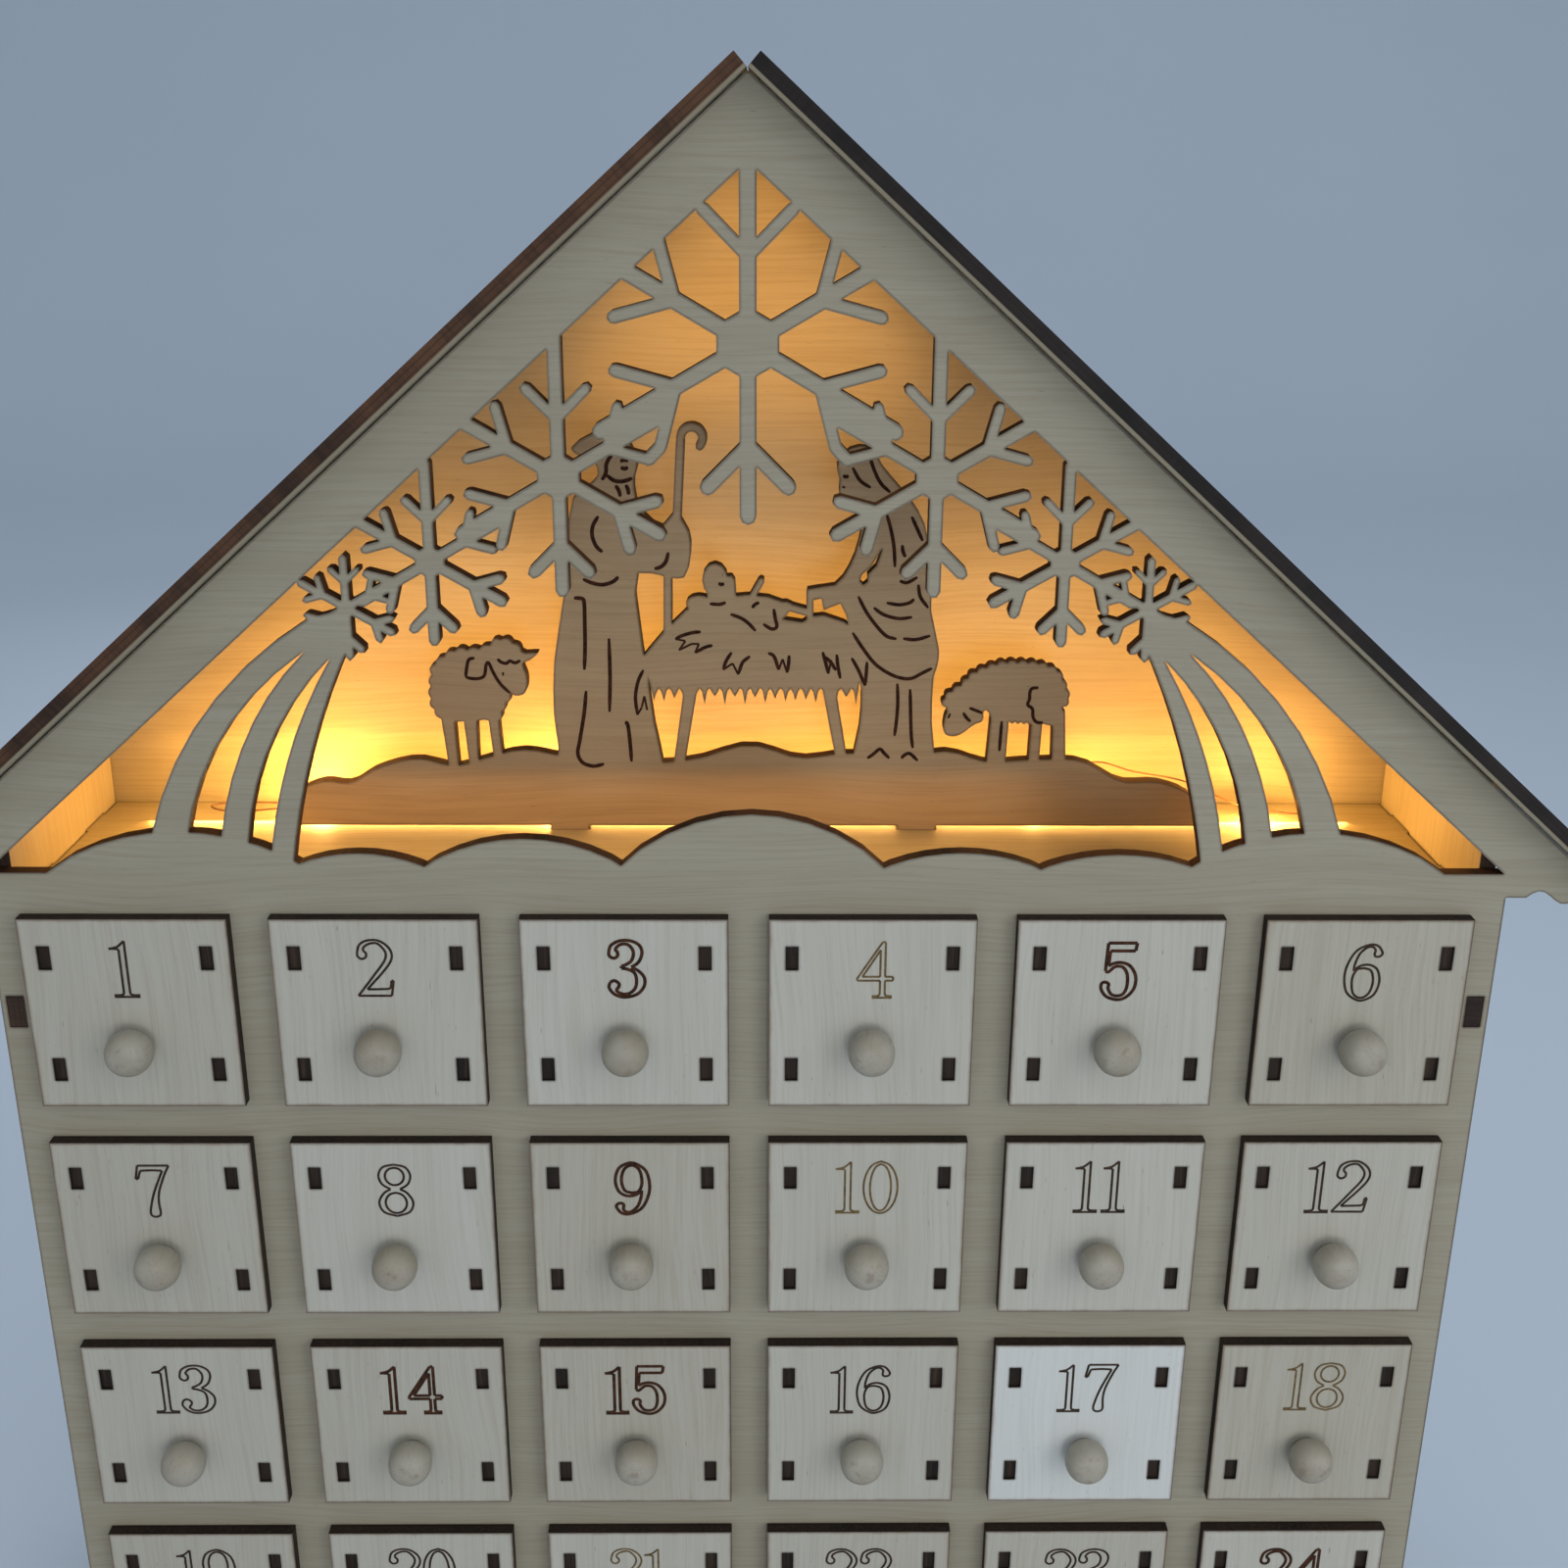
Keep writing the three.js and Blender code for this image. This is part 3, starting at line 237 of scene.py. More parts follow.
def grid_boards():
    material, tree, shader = new_finish("birch grid")
    point = step(tree, "TexCoord").outputs["Object"]
    wood, streaks, _ = veneer(tree, point, birch_pale, birch_deep, srgb(112, 92, 66))
    facing = reckon(tree, "ABSOLUTE", reach(tree, step(tree, "NewGeometry").outputs["Normal"], (0, 1, 0)))
    edge = scorch(tree, point, 0.5, char_light, char_dark)
    tab_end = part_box("drawer_grid")[1].x - char_depth
    beyond = reckon(tree, "GREATER_THAN", reckon(tree, "ABSOLUTE", reach(tree, point, (1, 0, 0))), tab_end)
    cut = reckon(tree, "MAXIMUM", reckon(tree, "GREATER_THAN", facing, square_on), beyond)
    tree.links.new(stain(tree, cut, wood, edge), shader.inputs["Base Color"])
    tree.links.new(reckon(tree, "MULTIPLY_ADD", streaks, 0.2, 0.55), shader.inputs["Roughness"])
    shader.inputs["Specular IOR Level"].default_value = 0.3
    return material


dress(grid_boards(), "drawer_grid")

# Roof boards: two plain sheets, glued on the panels' slopes, which meet at the ridge. The left one's front
# edge is charred brown. The right one's is charred too and painted near black, darkened with painted shade
# because the light falls from the left. The last veneer stayed pale.

roof_pitch = math.radians(41.5)
underside = {}
for side, node, light, dark in (
    (-1, "left_roof", srgb(84, 56, 36), srgb(34, 21, 14)),
    # painted near black: the char darkened with painted shade
    (1, "right_roof", srgb(34, 26, 24), srgb(14, 10, 10)),
):
    up_slope = (-side * math.cos(roof_pitch), 0, math.sin(roof_pitch))
    outward = Vector((side * math.sin(roof_pitch), 0, math.cos(roof_pitch)))
    corners = [Vector(v.co).dot(outward) for v in bpy.data.objects[node].data.vertices]
    dress(
        plywood(
            f"birch {node}", up_slope, outward, max(corners), birch_pale, birch_deep, light, dark,
            bare=0.8,
        ),
        node,
    )
    underside[side] = outward * (max(corners) - ply), Vector(up_slope)

# Glue: a bead of wood glue, dried to amber, in the corner between each panel and each roof board,
# inside the loft. It also keeps the lamps' light from showing through the joint.

glue_width = 0.0013
glue_shares = [                    # its section, down from the roof and out from the panel
    (-0.1, -0.1), (-0.1, 1), (0.5, 0.75), (0.85, 0.4), (1, -0.1),
]
ridge_gap = 0.001                  # from a bead's upper end to the middle


def dried_glue():
    material, tree, shader = new_finish("dried glue")
    runs = figure(tree, step(tree, "TexCoord").outputs["Object"], (180, 180, 180))
    tree.links.new(stain(tree, runs, srgb(150, 128, 88), srgb(120, 98, 62)), shader.inputs["Base Color"])
    tree.links.new(reckon(tree, "MULTIPLY_ADD", runs, 0.3, 0.2), shader.inputs["Roughness"])
    return material


def mesh_piece(name, points, faces, material, body, smooth=True):
    """One piece of the given points and faces, which moves with a body."""
    mesh = bpy.data.meshes.new(name)
    mesh.from_pydata([tuple(p) for p in points], [], faces)
    mesh.update()
    for polygon in mesh.polygons:
        polygon.use_smooth = smooth
    mesh.materials.append(material)
    piece = bpy.data.objects.new(name, mesh)
    bpy.context.scene.collection.objects.link(piece)
    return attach(piece, body)


glue = dried_glue()
panel_backs = {"front": (panel_face + ply, 1), "back": (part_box("back_panel")[0].y, -1)}
for side, (foot, up_slope) in underside.items():
    inward = -foot.normalized()
    low_end = (foot.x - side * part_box("right_wall")[0].x) / -up_slope.x
    high_end = (foot.x - side * ridge_gap) / -up_slope.x
    for panel, (level, depth) in panel_backs.items():
        points = [
            foot + up_slope * along + inward * (down * glue_width)
            + Vector((0, level + depth * out * glue_width, 0))
            for along in (low_end, high_end) for down, out in glue_shares[::side * depth]
        ]
        faces = [tuple(range(4, -1, -1)), tuple(range(5, 10))]
        faces += [(k, (k + 1) % 5, (k + 1) % 5 + 5, k + 5) for k in range(5)]
        name = f"glue_{panel}_{'left' if side < 0 else 'right'}"
        mesh_piece(name, points, faces, glue, "case", smooth=False)

# Scene plate: the ground with man, child, woman and sheep, laser-cut from one birch sheet with the
# folds, hay and fleece engraved. It stands in two slots of the loft floor, in front of the lamps.

scene_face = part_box("scene_plate")[0].y
dress(
    plywood(
        "birch scene", (1, 0, 0), (0, -1, 0), -scene_face,
        # the same birch as the panels, painted darker and warmer: painted shade of the loft, tinted as if by
        # the lamps' warm light
        srgb(165, 144, 112), srgb(143, 121, 91), char_light, char_dark,
    ),
    "scene_plate",
)


def smooth_route(points, parts):
    """Points along a soft curve through the given ones."""
    route = []
    ends = [points[0] * 2 - points[1]] + points + [points[-1] * 2 - points[-2]]
    for a, b, c, d in zip(ends, ends[1:], ends[2:], ends[3:]):
        for i in range(parts):
            t = i / parts
            bend = (2 * a - 5 * b + 4 * c - d) * t ** 2 + (3 * b - a - 3 * c + d) * t ** 3
            route.append(0.5 * (2 * b + (c - a) * t + bend))
    return route + [points[-1]]


def burnt_strokes(lines, width, face, rise, ends=0.6, parts=5):
    """
    The laser's strokes on an upright board: thin closed strips with blunt ends. Each line is a list of
    (across, up) in metres. face is where the board's front lies, and rise how far a strip stands before
    it. A strip starts and stops at the share ends of its width.
    """
    points, faces = [], []
    for count, line in enumerate(lines):
        route = [Vector(p) for p in line]
        if len(line) > 2:
            route = smooth_route(route, parts)
        closed = (route[0] - route[-1]).length < 1e-6
        first, last = len(points), len(route) - 1
        # strips stand out by five different amounts, so that two that cross don't flicker
        front = face - rise * (1 + 0.12 * (count % 5))
        for i, at in enumerate(route):
            before = route[i - 1] if i else (route[-2] if closed else route[0])
            after = route[i + 1] if i < last else (route[1] if closed else route[-1])
            ahead = (after - before).normalized()
            aside = Vector((-ahead.y, ahead.x))
            blunt = 1 if closed else min(1, ends + min(i, last - i) * 0.25)
            for side, depth in ((1, front), (-1, front), (-1, face + rise), (1, face + rise)):
                spot = at + aside * (side * blunt * width / 2)
                points.append(Vector((spot.x, depth, spot.y)))
        for i in range(last):
            for k in range(4):
                a, b = first + 4 * i + k, first + 4 * i + (k + 1) % 4
                faces.append((a, a + 4, b + 4, b))
        if closed:
            continue
        faces += [tuple(first + k for k in range(4)), tuple(first + 4 * last + k for k in (3, 2, 1, 0))]
    return points, faces


def burn_finish(name, light, dark):
    """Engraved wood: charred unevenly along the stroke."""
    material, tree, shader = new_finish(name)
    point = step(tree, "TexCoord").outputs["Object"]
    heat = figure(tree, point, (900, 900, 900), detail=3.0, roughness=0.7)
    tree.links.new(stain(tree, fade(tree, heat, 0.3, 0.7), light, dark), shader.inputs["Base Color"])
    shader.inputs["Roughness"].default_value = 0.85
    shader.inputs["Specular IOR Level"].default_value = 0.2
    return material


fold_rise = 0.00004
fold_strokes = {                   # a stroke's width, then lines across and up, in millimetres
    "man": (0.78, [
        [(-29.5, 253.4), (-30.6, 251.5), (-30.8, 249.5), (-30.1, 247.5), (-28.9, 246.3)],
        [(-24.2, 251.9), (-23.7, 249), (-22.9, 246.4)],
        [(-32.9, 240.9), (-31, 240.1), (-29, 239.8), (-27, 240.4), (-25.9, 241.4)],
        [(-16, 246.3), (-16.5, 244.5), (-17.5, 243.4), (-18.8, 243)],
        [(-34.8, 237.1), (-33.3, 237), (-32.8, 236.2), (-32.8, 232), (-32.9, 227), (-33.2, 222.4)],
        [(-28.1, 228.9), (-28.1, 221), (-28.4, 213.6)],
        [(-33, 218), (-33.5, 213.5), (-34.6, 207.5), (-35.1, 204.8), (-34.2, 202.8), (-32, 202),
         (-29.8, 202.5)],
        [(-25.4, 211.3), (-24.8, 210.9), (-24.4, 207), (-24.2, 203)],
        # head cloth, eye and brow, and a full beard
        [(-24.2, 266.6), (-26.4, 265.4), (-27.6, 263.6), (-27.8, 261.8), (-28.6, 260.4)],
        [(-24.9, 262.9), (-24.2, 262.6), (-23.5, 262.9)], [(-25, 264), (-24.2, 264.3), (-23.4, 264.1)],
        [(-27.7, 261.4), (-26.2, 260.3), (-24.4, 260.2), (-22.7, 260.8)],
        [(-26, 259.4), (-25.4, 258.4), (-25.1, 257.2)], [(-24, 259.5), (-23.6, 258.6), (-23.5, 257.6)],
    ]),
    "woman": (0.72, [
        [(19.8, 263), (21.3, 260.5), (23.4, 259.1)],
        [(18, 261.5), (18.5, 261.2), (19.1, 261.4)], [(17.9, 259.3), (18.4, 259.1)],
        [(23, 265.3), (24, 262.5), (25.3, 260), (27.2, 258.2)],
        [(26.6, 254), (27.5, 251), (28.2, 247.5), (28.5, 243.5)],
        [(31.5, 253.5), (32.7, 251), (33.8, 248.7)],
        [(29.8, 247.9), (30, 246.6), (30.5, 245.5)],
        [(23, 251.5), (22.5, 249.5), (22.1, 247.5)],
        [(29.5, 240.7), (31, 240.4), (33, 241.5)],
        [(33.2, 240), (33.7, 237.5), (35.3, 235.3)],
        [(27, 236.3), (29.5, 235.9), (31.5, 236.3), (32.5, 237.1)],
        [(24.5, 235.3), (26.5, 233.9), (29.5, 233.1), (32.2, 233.4)],
        [(21.4, 237.6), (23, 234.5), (25.2, 231.5), (27.2, 229.5), (29.2, 228.9)],
        [(30.5, 229), (33, 228.8), (35.9, 229.6)],
        [(20.4, 230.2), (22.5, 227), (25, 223.8), (28, 221.7), (30.5, 220.8), (32.5, 220.8), (34.4, 221.8),
         (36.5, 222.9)],
        [(29.6, 219.7), (29.8, 215.5), (29.6, 211.5), (29.3, 208.6)],
        [(32.2, 218.5), (32.4, 214.5), (32.7, 209), (33.1, 206)],
        [(23.9, 203.8), (25.2, 204.8), (26.4, 205.8), (27.3, 204.9), (28.4, 203.8)],
        [(30.8, 203.8), (31.6, 204.6), (32.6, 204.8), (34.2, 203.3)],
    ]),
    "manger": (0.72, [
        [(-8, 236), (-6, 235.9), (-4.8, 236.3)],
        [(-6.2, 240.2), (-5.7, 239.9), (-5.1, 240.1)],
        [(-3.9, 233.9), (-2, 233.2), (-0.5, 232.2), (1.1, 230.5)],
        [(0.4, 235.2), (1, 235.9), (1.8, 236.3)],
        [(4.7, 235), (5, 233), (5.3, 231.4), (4.3, 230.9), (2.6, 231.9)],
        [(-9.8, 230.3), (-11.5, 230.1), (-13.5, 229.5), (-14.9, 228.8)],
        [(-14.9, 228.8), (-12.9, 228.4)], [(-12.9, 228.4), (-14.2, 226.5)], [(-14.2, 226.5), (-11.7, 227.8)],
        [(-11.7, 227.8), (-10.2, 227.8)], [(-10.2, 227.8), (-11, 226)],
        [(-11, 226), (-9, 227.1), (-7.5, 227.5)],
        [(-3.7, 226.1), (-4.8, 224.3), (-5.4, 222.5)], [(-5.4, 222.5), (-3.5, 223.8)],
        [(-3.5, 223.8), (-2.4, 221.5)], [(-2.4, 221.5), (-1.5, 224), (0, 225.3)],
        [(3.6, 226), (4.8, 225.2), (5.7, 222.5)], [(5.7, 222.5), (6.5, 224.7)], [(6.5, 224.7), (7.4, 221.9)],
        [(7.4, 221.9), (7.7, 223.8), (7.8, 225.5)],
        [(14.5, 226.2), (15.1, 224), (15.7, 221.7)], [(15.7, 221.7), (16.2, 224.6)],
        [(15, 225.2), (16.2, 224), (17.2, 222.4)], [(17.3, 225.7), (17.6, 223.2), (18.1, 220.7)],
        [(20.3, 225), (21.7, 222.5), (23.1, 219.2)], [(23.1, 219.2), (23.3, 221.8), (23.4, 224.2)],
        [(-21.4, 222.4), (-22.5, 220), (-23.1, 216.8), (-22.8, 213)], [(-22.8, 213), (-21.9, 214.5)],
        [(-21.9, 214.6), (-21.3, 216.9)], [(-21.3, 216.9), (-20.8, 214)],
    ]),
    "sheep": (0.68, [
        [(-55, 224.8), (-56.2, 224.4), (-56.7, 222.7), (-57, 220.8)],
        [(-57, 220.8), (-55.6, 220.5), (-54.1, 220.6), (-53.2, 221.3), (-52.8, 223.3), (-52.3, 224.1)],
        [(-52.3, 224.1), (-51.4, 221.7), (-50.1, 219.4), (-48.3, 217.5)],
        [(-50.5, 224.6), (-49.7, 223.9), (-48.7, 223.7), (-48, 224.2), (-47, 223.8), (-45.9, 224.3)],
        [(58.1, 218.9), (56.8, 218.7), (56.4, 217.8), (56.4, 216.5), (56.1, 215.3), (57.1, 214.4),
         (57.3, 212.7), (58.1, 211.6), (59.4, 211.5)],
        [(44.3, 214.6), (45.8, 214), (47, 213.5)], [(43.1, 213.6), (43.9, 212.4), (44.7, 211.7)],
        [(40.5, 213.4), (40.1, 212.4)], [(51, 211.8), (50.9, 208.5), (50.8, 205.4)],
    ]),
    "eyes": (1.2, [[(-49.7, 221.5), (-49.3, 221.5)], [(-5.5, 241.8), (-5.4, 241.8)]]),
}
fold_burn = burn_finish("engraved folds", srgb(66, 34, 18), srgb(30, 14, 8))
for figure_name, (width, lines) in fold_strokes.items():
    points, faces = burnt_strokes(
        [[(x / 1000, z / 1000) for x, z in line] for line in lines], width / 1000, scene_face, fold_rise,
    )
    mesh_piece(f"folds_{figure_name}", points, faces, fold_burn, "case", smooth=False)

# String of lamps: a thin lacquered copper wire with small clear resin drops, each round a warm lamp.
# It comes in through a hole in the back panel and lies on the loft floor behind the scene.

wire_hole_across, wire_hole_rise = -0.02516, 0.007
wire_radius, wire_sides = 0.0002, 8
loft_bay = (scene_face + ply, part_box("back_panel")[0].y)
half_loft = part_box("right_wall")[0].x
wire_places = [                    # shares of the loft's half, of its bay and of the hole's height
    (-0.2, 0.84, 0.92), (-0.25, 0.74, 0.45), (-0.34, 0.72, 0.16), (-0.44, 0.74, 0.16), (-0.53, 0.7, 0.45),
    (-0.63, 0.74, 0.16), (-0.73, 0.72, 0.16), (-0.8, 0.71, 0.18), (-0.835, 0.5, 0.2), (-0.8, 0.29, 0.18),
    (-0.72, 0.27, 0.3), (-0.62, 0.31, 0.6), (-0.51, 0.27, 0.16), (-0.4, 0.3, 0.16), (-0.3, 0.27, 0.4),
    (-0.19, 0.31, 0.16), (-0.07, 0.28, 0.2), (0.04, 0.3, 0.75), (0.15, 0.27, 0.2), (0.25, 0.3, 0.16),
    (0.35, 0.28, 0.35), (0.44, 0.3, 0.9), (0.52, 0.31, 1.75), (0.59, 0.33, 1.45), (0.67, 0.31, 1.15),
    (0.75, 0.3, 0.45), (0.83, 0.3, 0.16), (0.9, 0.3, 0.16),
]


def ring_faces(rings, sides, first=0):
    """Four-sided faces between rings of points that follow each other, from the first point on."""
    faces = []
    for i in range(rings - 1):
        for k in range(sides):
            a, b = first + i * sides + k, first + i * sides + (k + 1) % sides
            faces.append((a, b, b + sides, a + sides))
    return faces


def drawn_wire(route, radius, sides):
    """The skin of a wire along a route, closed at both ends."""
    points = []
    for i, at in enumerate(route):
        ahead = (route[min(i + 1, len(route) - 1)] - route[max(i - 1, 0)]).normalized()
        across = ahead.cross(Vector((0, 0, 1))).normalized()
        up = across.cross(ahead)
        for k in range(sides):
            turn = 2 * math.pi * k / sides
            points.append(at + radius * (math.cos(turn) * across + math.sin(turn) * up))
    ends = [tuple(reversed(range(sides))), tuple(range(len(points) - sides, len(points)))]
    return points, ring_faces(len(route), sides) + ends


def resin_drop(at, ahead, radius, half):
    """A clear drop round its lamp, a little longer along the wire."""
    across = ahead.cross(Vector((0, 0, 1))).normalized()
    up = across.cross(ahead)
    rings, sides = 9, 14
    points = [at - half * ahead]
    for i in range(1, rings):
        lean = math.pi * i / rings
        for k in range(sides):
            turn = 2 * math.pi * k / sides
            points.append(
                at - half * math.cos(lean) * ahead
                + radius * math.sin(lean) * (math.cos(turn) * across + math.sin(turn) * up)
            )
    points.append(at + half * ahead)
    last = len(points) - 1
    faces = [(0, 1 + (k + 1) % sides, 1 + k) for k in range(sides)]
    faces += ring_faces(rings - 1, sides, first=1)
    faces += [(last, last - sides + k, last - sides + (k + 1) % sides) for k in range(sides)]
    return points, faces


def wire_finish():
    material, tree, shader = new_finish("lacquered copper")
    point = step(tree, "TexCoord").outputs["Object"]
    tarnish = figure(tree, point, (300, 300, 300))
    copper = stain(tree, fade(tree, tarnish, 0.4, 0.7), srgb(112, 76, 52), srgb(78, 54, 40))
    tree.links.new(copper, shader.inputs["Base Color"])
    tree.links.new(reckon(tree, "MULTIPLY_ADD", tarnish, 0.3, 0.2), shader.inputs["Roughness"])
    shader.inputs["Metallic"].default_value = 0.4
    return material


def lamp_resin():
    material, tree, shader = new_finish("lit resin")
    point = step(tree, "TexCoord").outputs["Object"]
    depth = figure(tree, point, (700, 700, 700))
    amber = stain(tree, fade(tree, depth, 0.35, 0.7), srgb(255, 226, 160), srgb(255, 206, 120))
    tree.links.new(amber, shader.inputs["Base Color"])
    shader.inputs["Roughness"].default_value = 0.15
    shader.inputs["Emission Color"].default_value = srgb(255, 214, 130)
    shader.inputs["Emission Strength"].default_value = 7.0
    return material


loft_route = [
    Vector((wire_hole_across, back, floor_top + wire_hole_rise)) for back in (back_face, loft_bay[1])
]
for across, back, up in wire_places:
    level = loft_bay[0] + back * (loft_bay[1] - loft_bay[0])
    loft_route.append(Vector((across * half_loft, level, floor_top + up * wire_hole_rise)))
wire_line = smooth_route(loft_route, parts=8)
wire = mesh_piece("lamp_wire", *drawn_wire(wire_line, wire_radius, wire_sides), wire_finish(), "case")
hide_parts("light_string")

first_bead, bead_space = 0.022, 0.05
bead_radius, bead_half = 0.0015, 0.0026
bead_hang = 0.0012                 # a bead's middle under its wire
bead_rise = 0.0029                 # the wire over the floor, at least, where a bead hangs
lamp_tint, lamp_power = (1.0, 0.5, 0.12), 0.043
lamp_ahead, lamp_hang = 0.0032, 0.004            # a lamp's light before its wire and under it
lamp_rise = 0.002                  # the light over the floor, at least
glass = lamp_resin()
gone, due, count = 0.0, first_bead, 0
for here, there in zip(wire_line, wire_line[1:]):
    stretch = (there - here).length
    while gone + stretch > due and there != wire_line[-1]:
        spot = here.lerp(there, (due - gone) / stretch)
        spot.z = max(spot.z, floor_top + bead_rise)
        count += 1
        due += bead_space
        bead_middle = spot - Vector((0, 0, bead_hang))
        points, faces = resin_drop(bead_middle, (there - here).normalized(), bead_radius, bead_half)
        mesh_piece(f"lamp_{count:02}", points, faces, glass, "case")
        glow = bpy.data.lights.new(f"lamp glow {count}", "POINT")
        glow.energy = lamp_power
        glow.color = lamp_tint
        glow.shadow_soft_size = bead_radius
        source = bpy.data.objects.new(glow.name, glow)
        low = max(spot.z - lamp_hang, floor_top + lamp_rise)
        source.location = (spot.x, spot.y - lamp_ahead, low)
        source.visible_camera = False
        bpy.context.scene.collection.objects.link(source)
    gone += stretch


def loft_glow(place, width, height, power, turn):
    """The lamps' light in the loft, as a soft sheet. turn is in degrees, from facing down."""
    glow = bpy.data.lights.new("loft glow", "AREA")
    glow.shape = "RECTANGLE"
    glow.size, glow.size_y = width, height
    glow.energy = power
    glow.color = lamp_tint
    source = bpy.data.objects.new(glow.name, glow)
    source.location = place
    source.rotation_euler = [math.radians(part) for part in turn]
    source.visible_camera = False
    bpy.context.scene.collection.objects.link(source)


# a halo behind the right hill, then the back panel, brightest low down and drawn up along both slopes
facing_down, facing_back, facing_front = (0, 0, 0), (90, 0, 0), (-90, 0, 0)
glow_gap = 0.0015                  # between the scene plate and the sheets behind it
glow_ridge = 0.304                 # where the sheets along the two slopes would meet
behind = scene_face + ply + glow_gap
halo = (0.077, loft_bay[1] - 0.012, floor_top + 0.009)
loft_glow(halo, width=0.024, height=0.006, power=0.004, turn=facing_back)
for up, width, height, power in (
    (0.2025, 0.25, 0.026, 0.035), (0.23, 0.19, 0.028, 0.029), (0.258, 0.13, 0.028, 0.005),
    (0.285, 0.056, 0.03, 0.0095), (0.31, 0.024, 0.016, 0.0028),
):
    loft_glow((0, behind, up), width, height, power, facing_back)
for up, power in zip((0.205, 0.22, 0.235, 0.25, 0.265, 0.28, 0.295), (0.0028,) * 3 + (0.0012,) * 4):
    for side in (-1, 1):
        across = side * (glow_ridge - up) / math.tan(roof_pitch)
        loft_glow((across, behind, up), width=0.016, height=0.012, power=power, turn=facing_back)

# on the floor behind the scene, through the slit under it, on the floor before it, and in both corners
over_floor = (0, sum(loft_bay) / 2, floor_top + 0.016)
slit = (0, behind, floor_top + 0.0006)
before = (-0.035, scene_face - 0.016, floor_top + 0.014)
loft_glow(over_floor, width=0.25, height=0.01, power=0.022, turn=facing_down)
loft_glow(slit, width=0.25, height=0.001, power=0.06, turn=facing_front)
loft_glow(before, width=0.19, height=0.018, power=0.025, turn=facing_down)
for side in (-1, 1):
    by_wall = (side * 0.1, scene_face, floor_top + 0.011)
    corner = (side * 0.115, (panel_face + ply + loft_bay[1]) / 2, floor_top + 0.012)
    loft_glow(by_wall, width=0.018, height=0.03, power=0.004, turn=(0, -90 * side, 0))
    loft_glow(corner, width=0.04, height=0.036, power=0.006, turn=facing_down)

# Battery box and switch: black moulded plastic, satin with a fine spark texture. The box is screwed
# to the back panel over the wire's hole, and the slide switch sits in its top.

spark_depth = 0.00008


def moulded_plastic(name, colour, worn):
    material, tree, shader = new_finish(name)
    point = step(tree, "TexCoord").outputs["Object"]
    spark = figure(tree, point, (2600, 2600, 2600), detail=2.0)
    rubs = figure(tree, point, (90, 90, 90), detail=3.0)
    tree.links.new(stain(tree, fade(tree, rubs, 0.5, 0.8), colour, worn), shader.inputs["Base Color"])
    tree.links.new(reckon(tree, "MULTIPLY_ADD", rubs, 0.25, 0.35), shader.inputs["Roughness"])
    bump = step(tree, "Bump", {"Strength": 0.3, "Distance": spark_depth, "Height": spark})
    tree.links.new(bump.outputs[0], shader.inputs["Normal"])
    return material


dress(moulded_plastic("battery box plastic", srgb(38, 38, 41), srgb(58, 58, 62)), "battery_box")
dress(moulded_plastic("switch plastic", srgb(52, 52, 56), srgb(78, 78, 82)), "light_switch")

# Drawers: thin birch boards, finger-jointed and glued. The front's veneer runs upright, and the ends
# of the tray's tabs show in four slots of it. All cut edges are scorched nearly black.

pitch_across, pitch_up = 0.046, 0.0468
low_middle = 0.0274                # height of the lowest row's middle
lit_front = (1, 1)             # number 17, painted paler as the most brightly lit front: painted light. In whole pitches right of the middle and up from the foot
front_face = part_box("drawer_01")[0].y
front_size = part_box("drawer_01")[1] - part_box("drawer_01")[0]
drawer_ply, slack = 0.0025, 0.0001
tab_ends = (0.0003, 0.0021)        # the tabs end between these depths behind the front's face
tray_rise = 0.0161                 # a tray's top edge over the middle of its front
smoke_start, smoke_end = -0.0005, 0.0006         # from the front's outline
smoke_waver = 0.0007


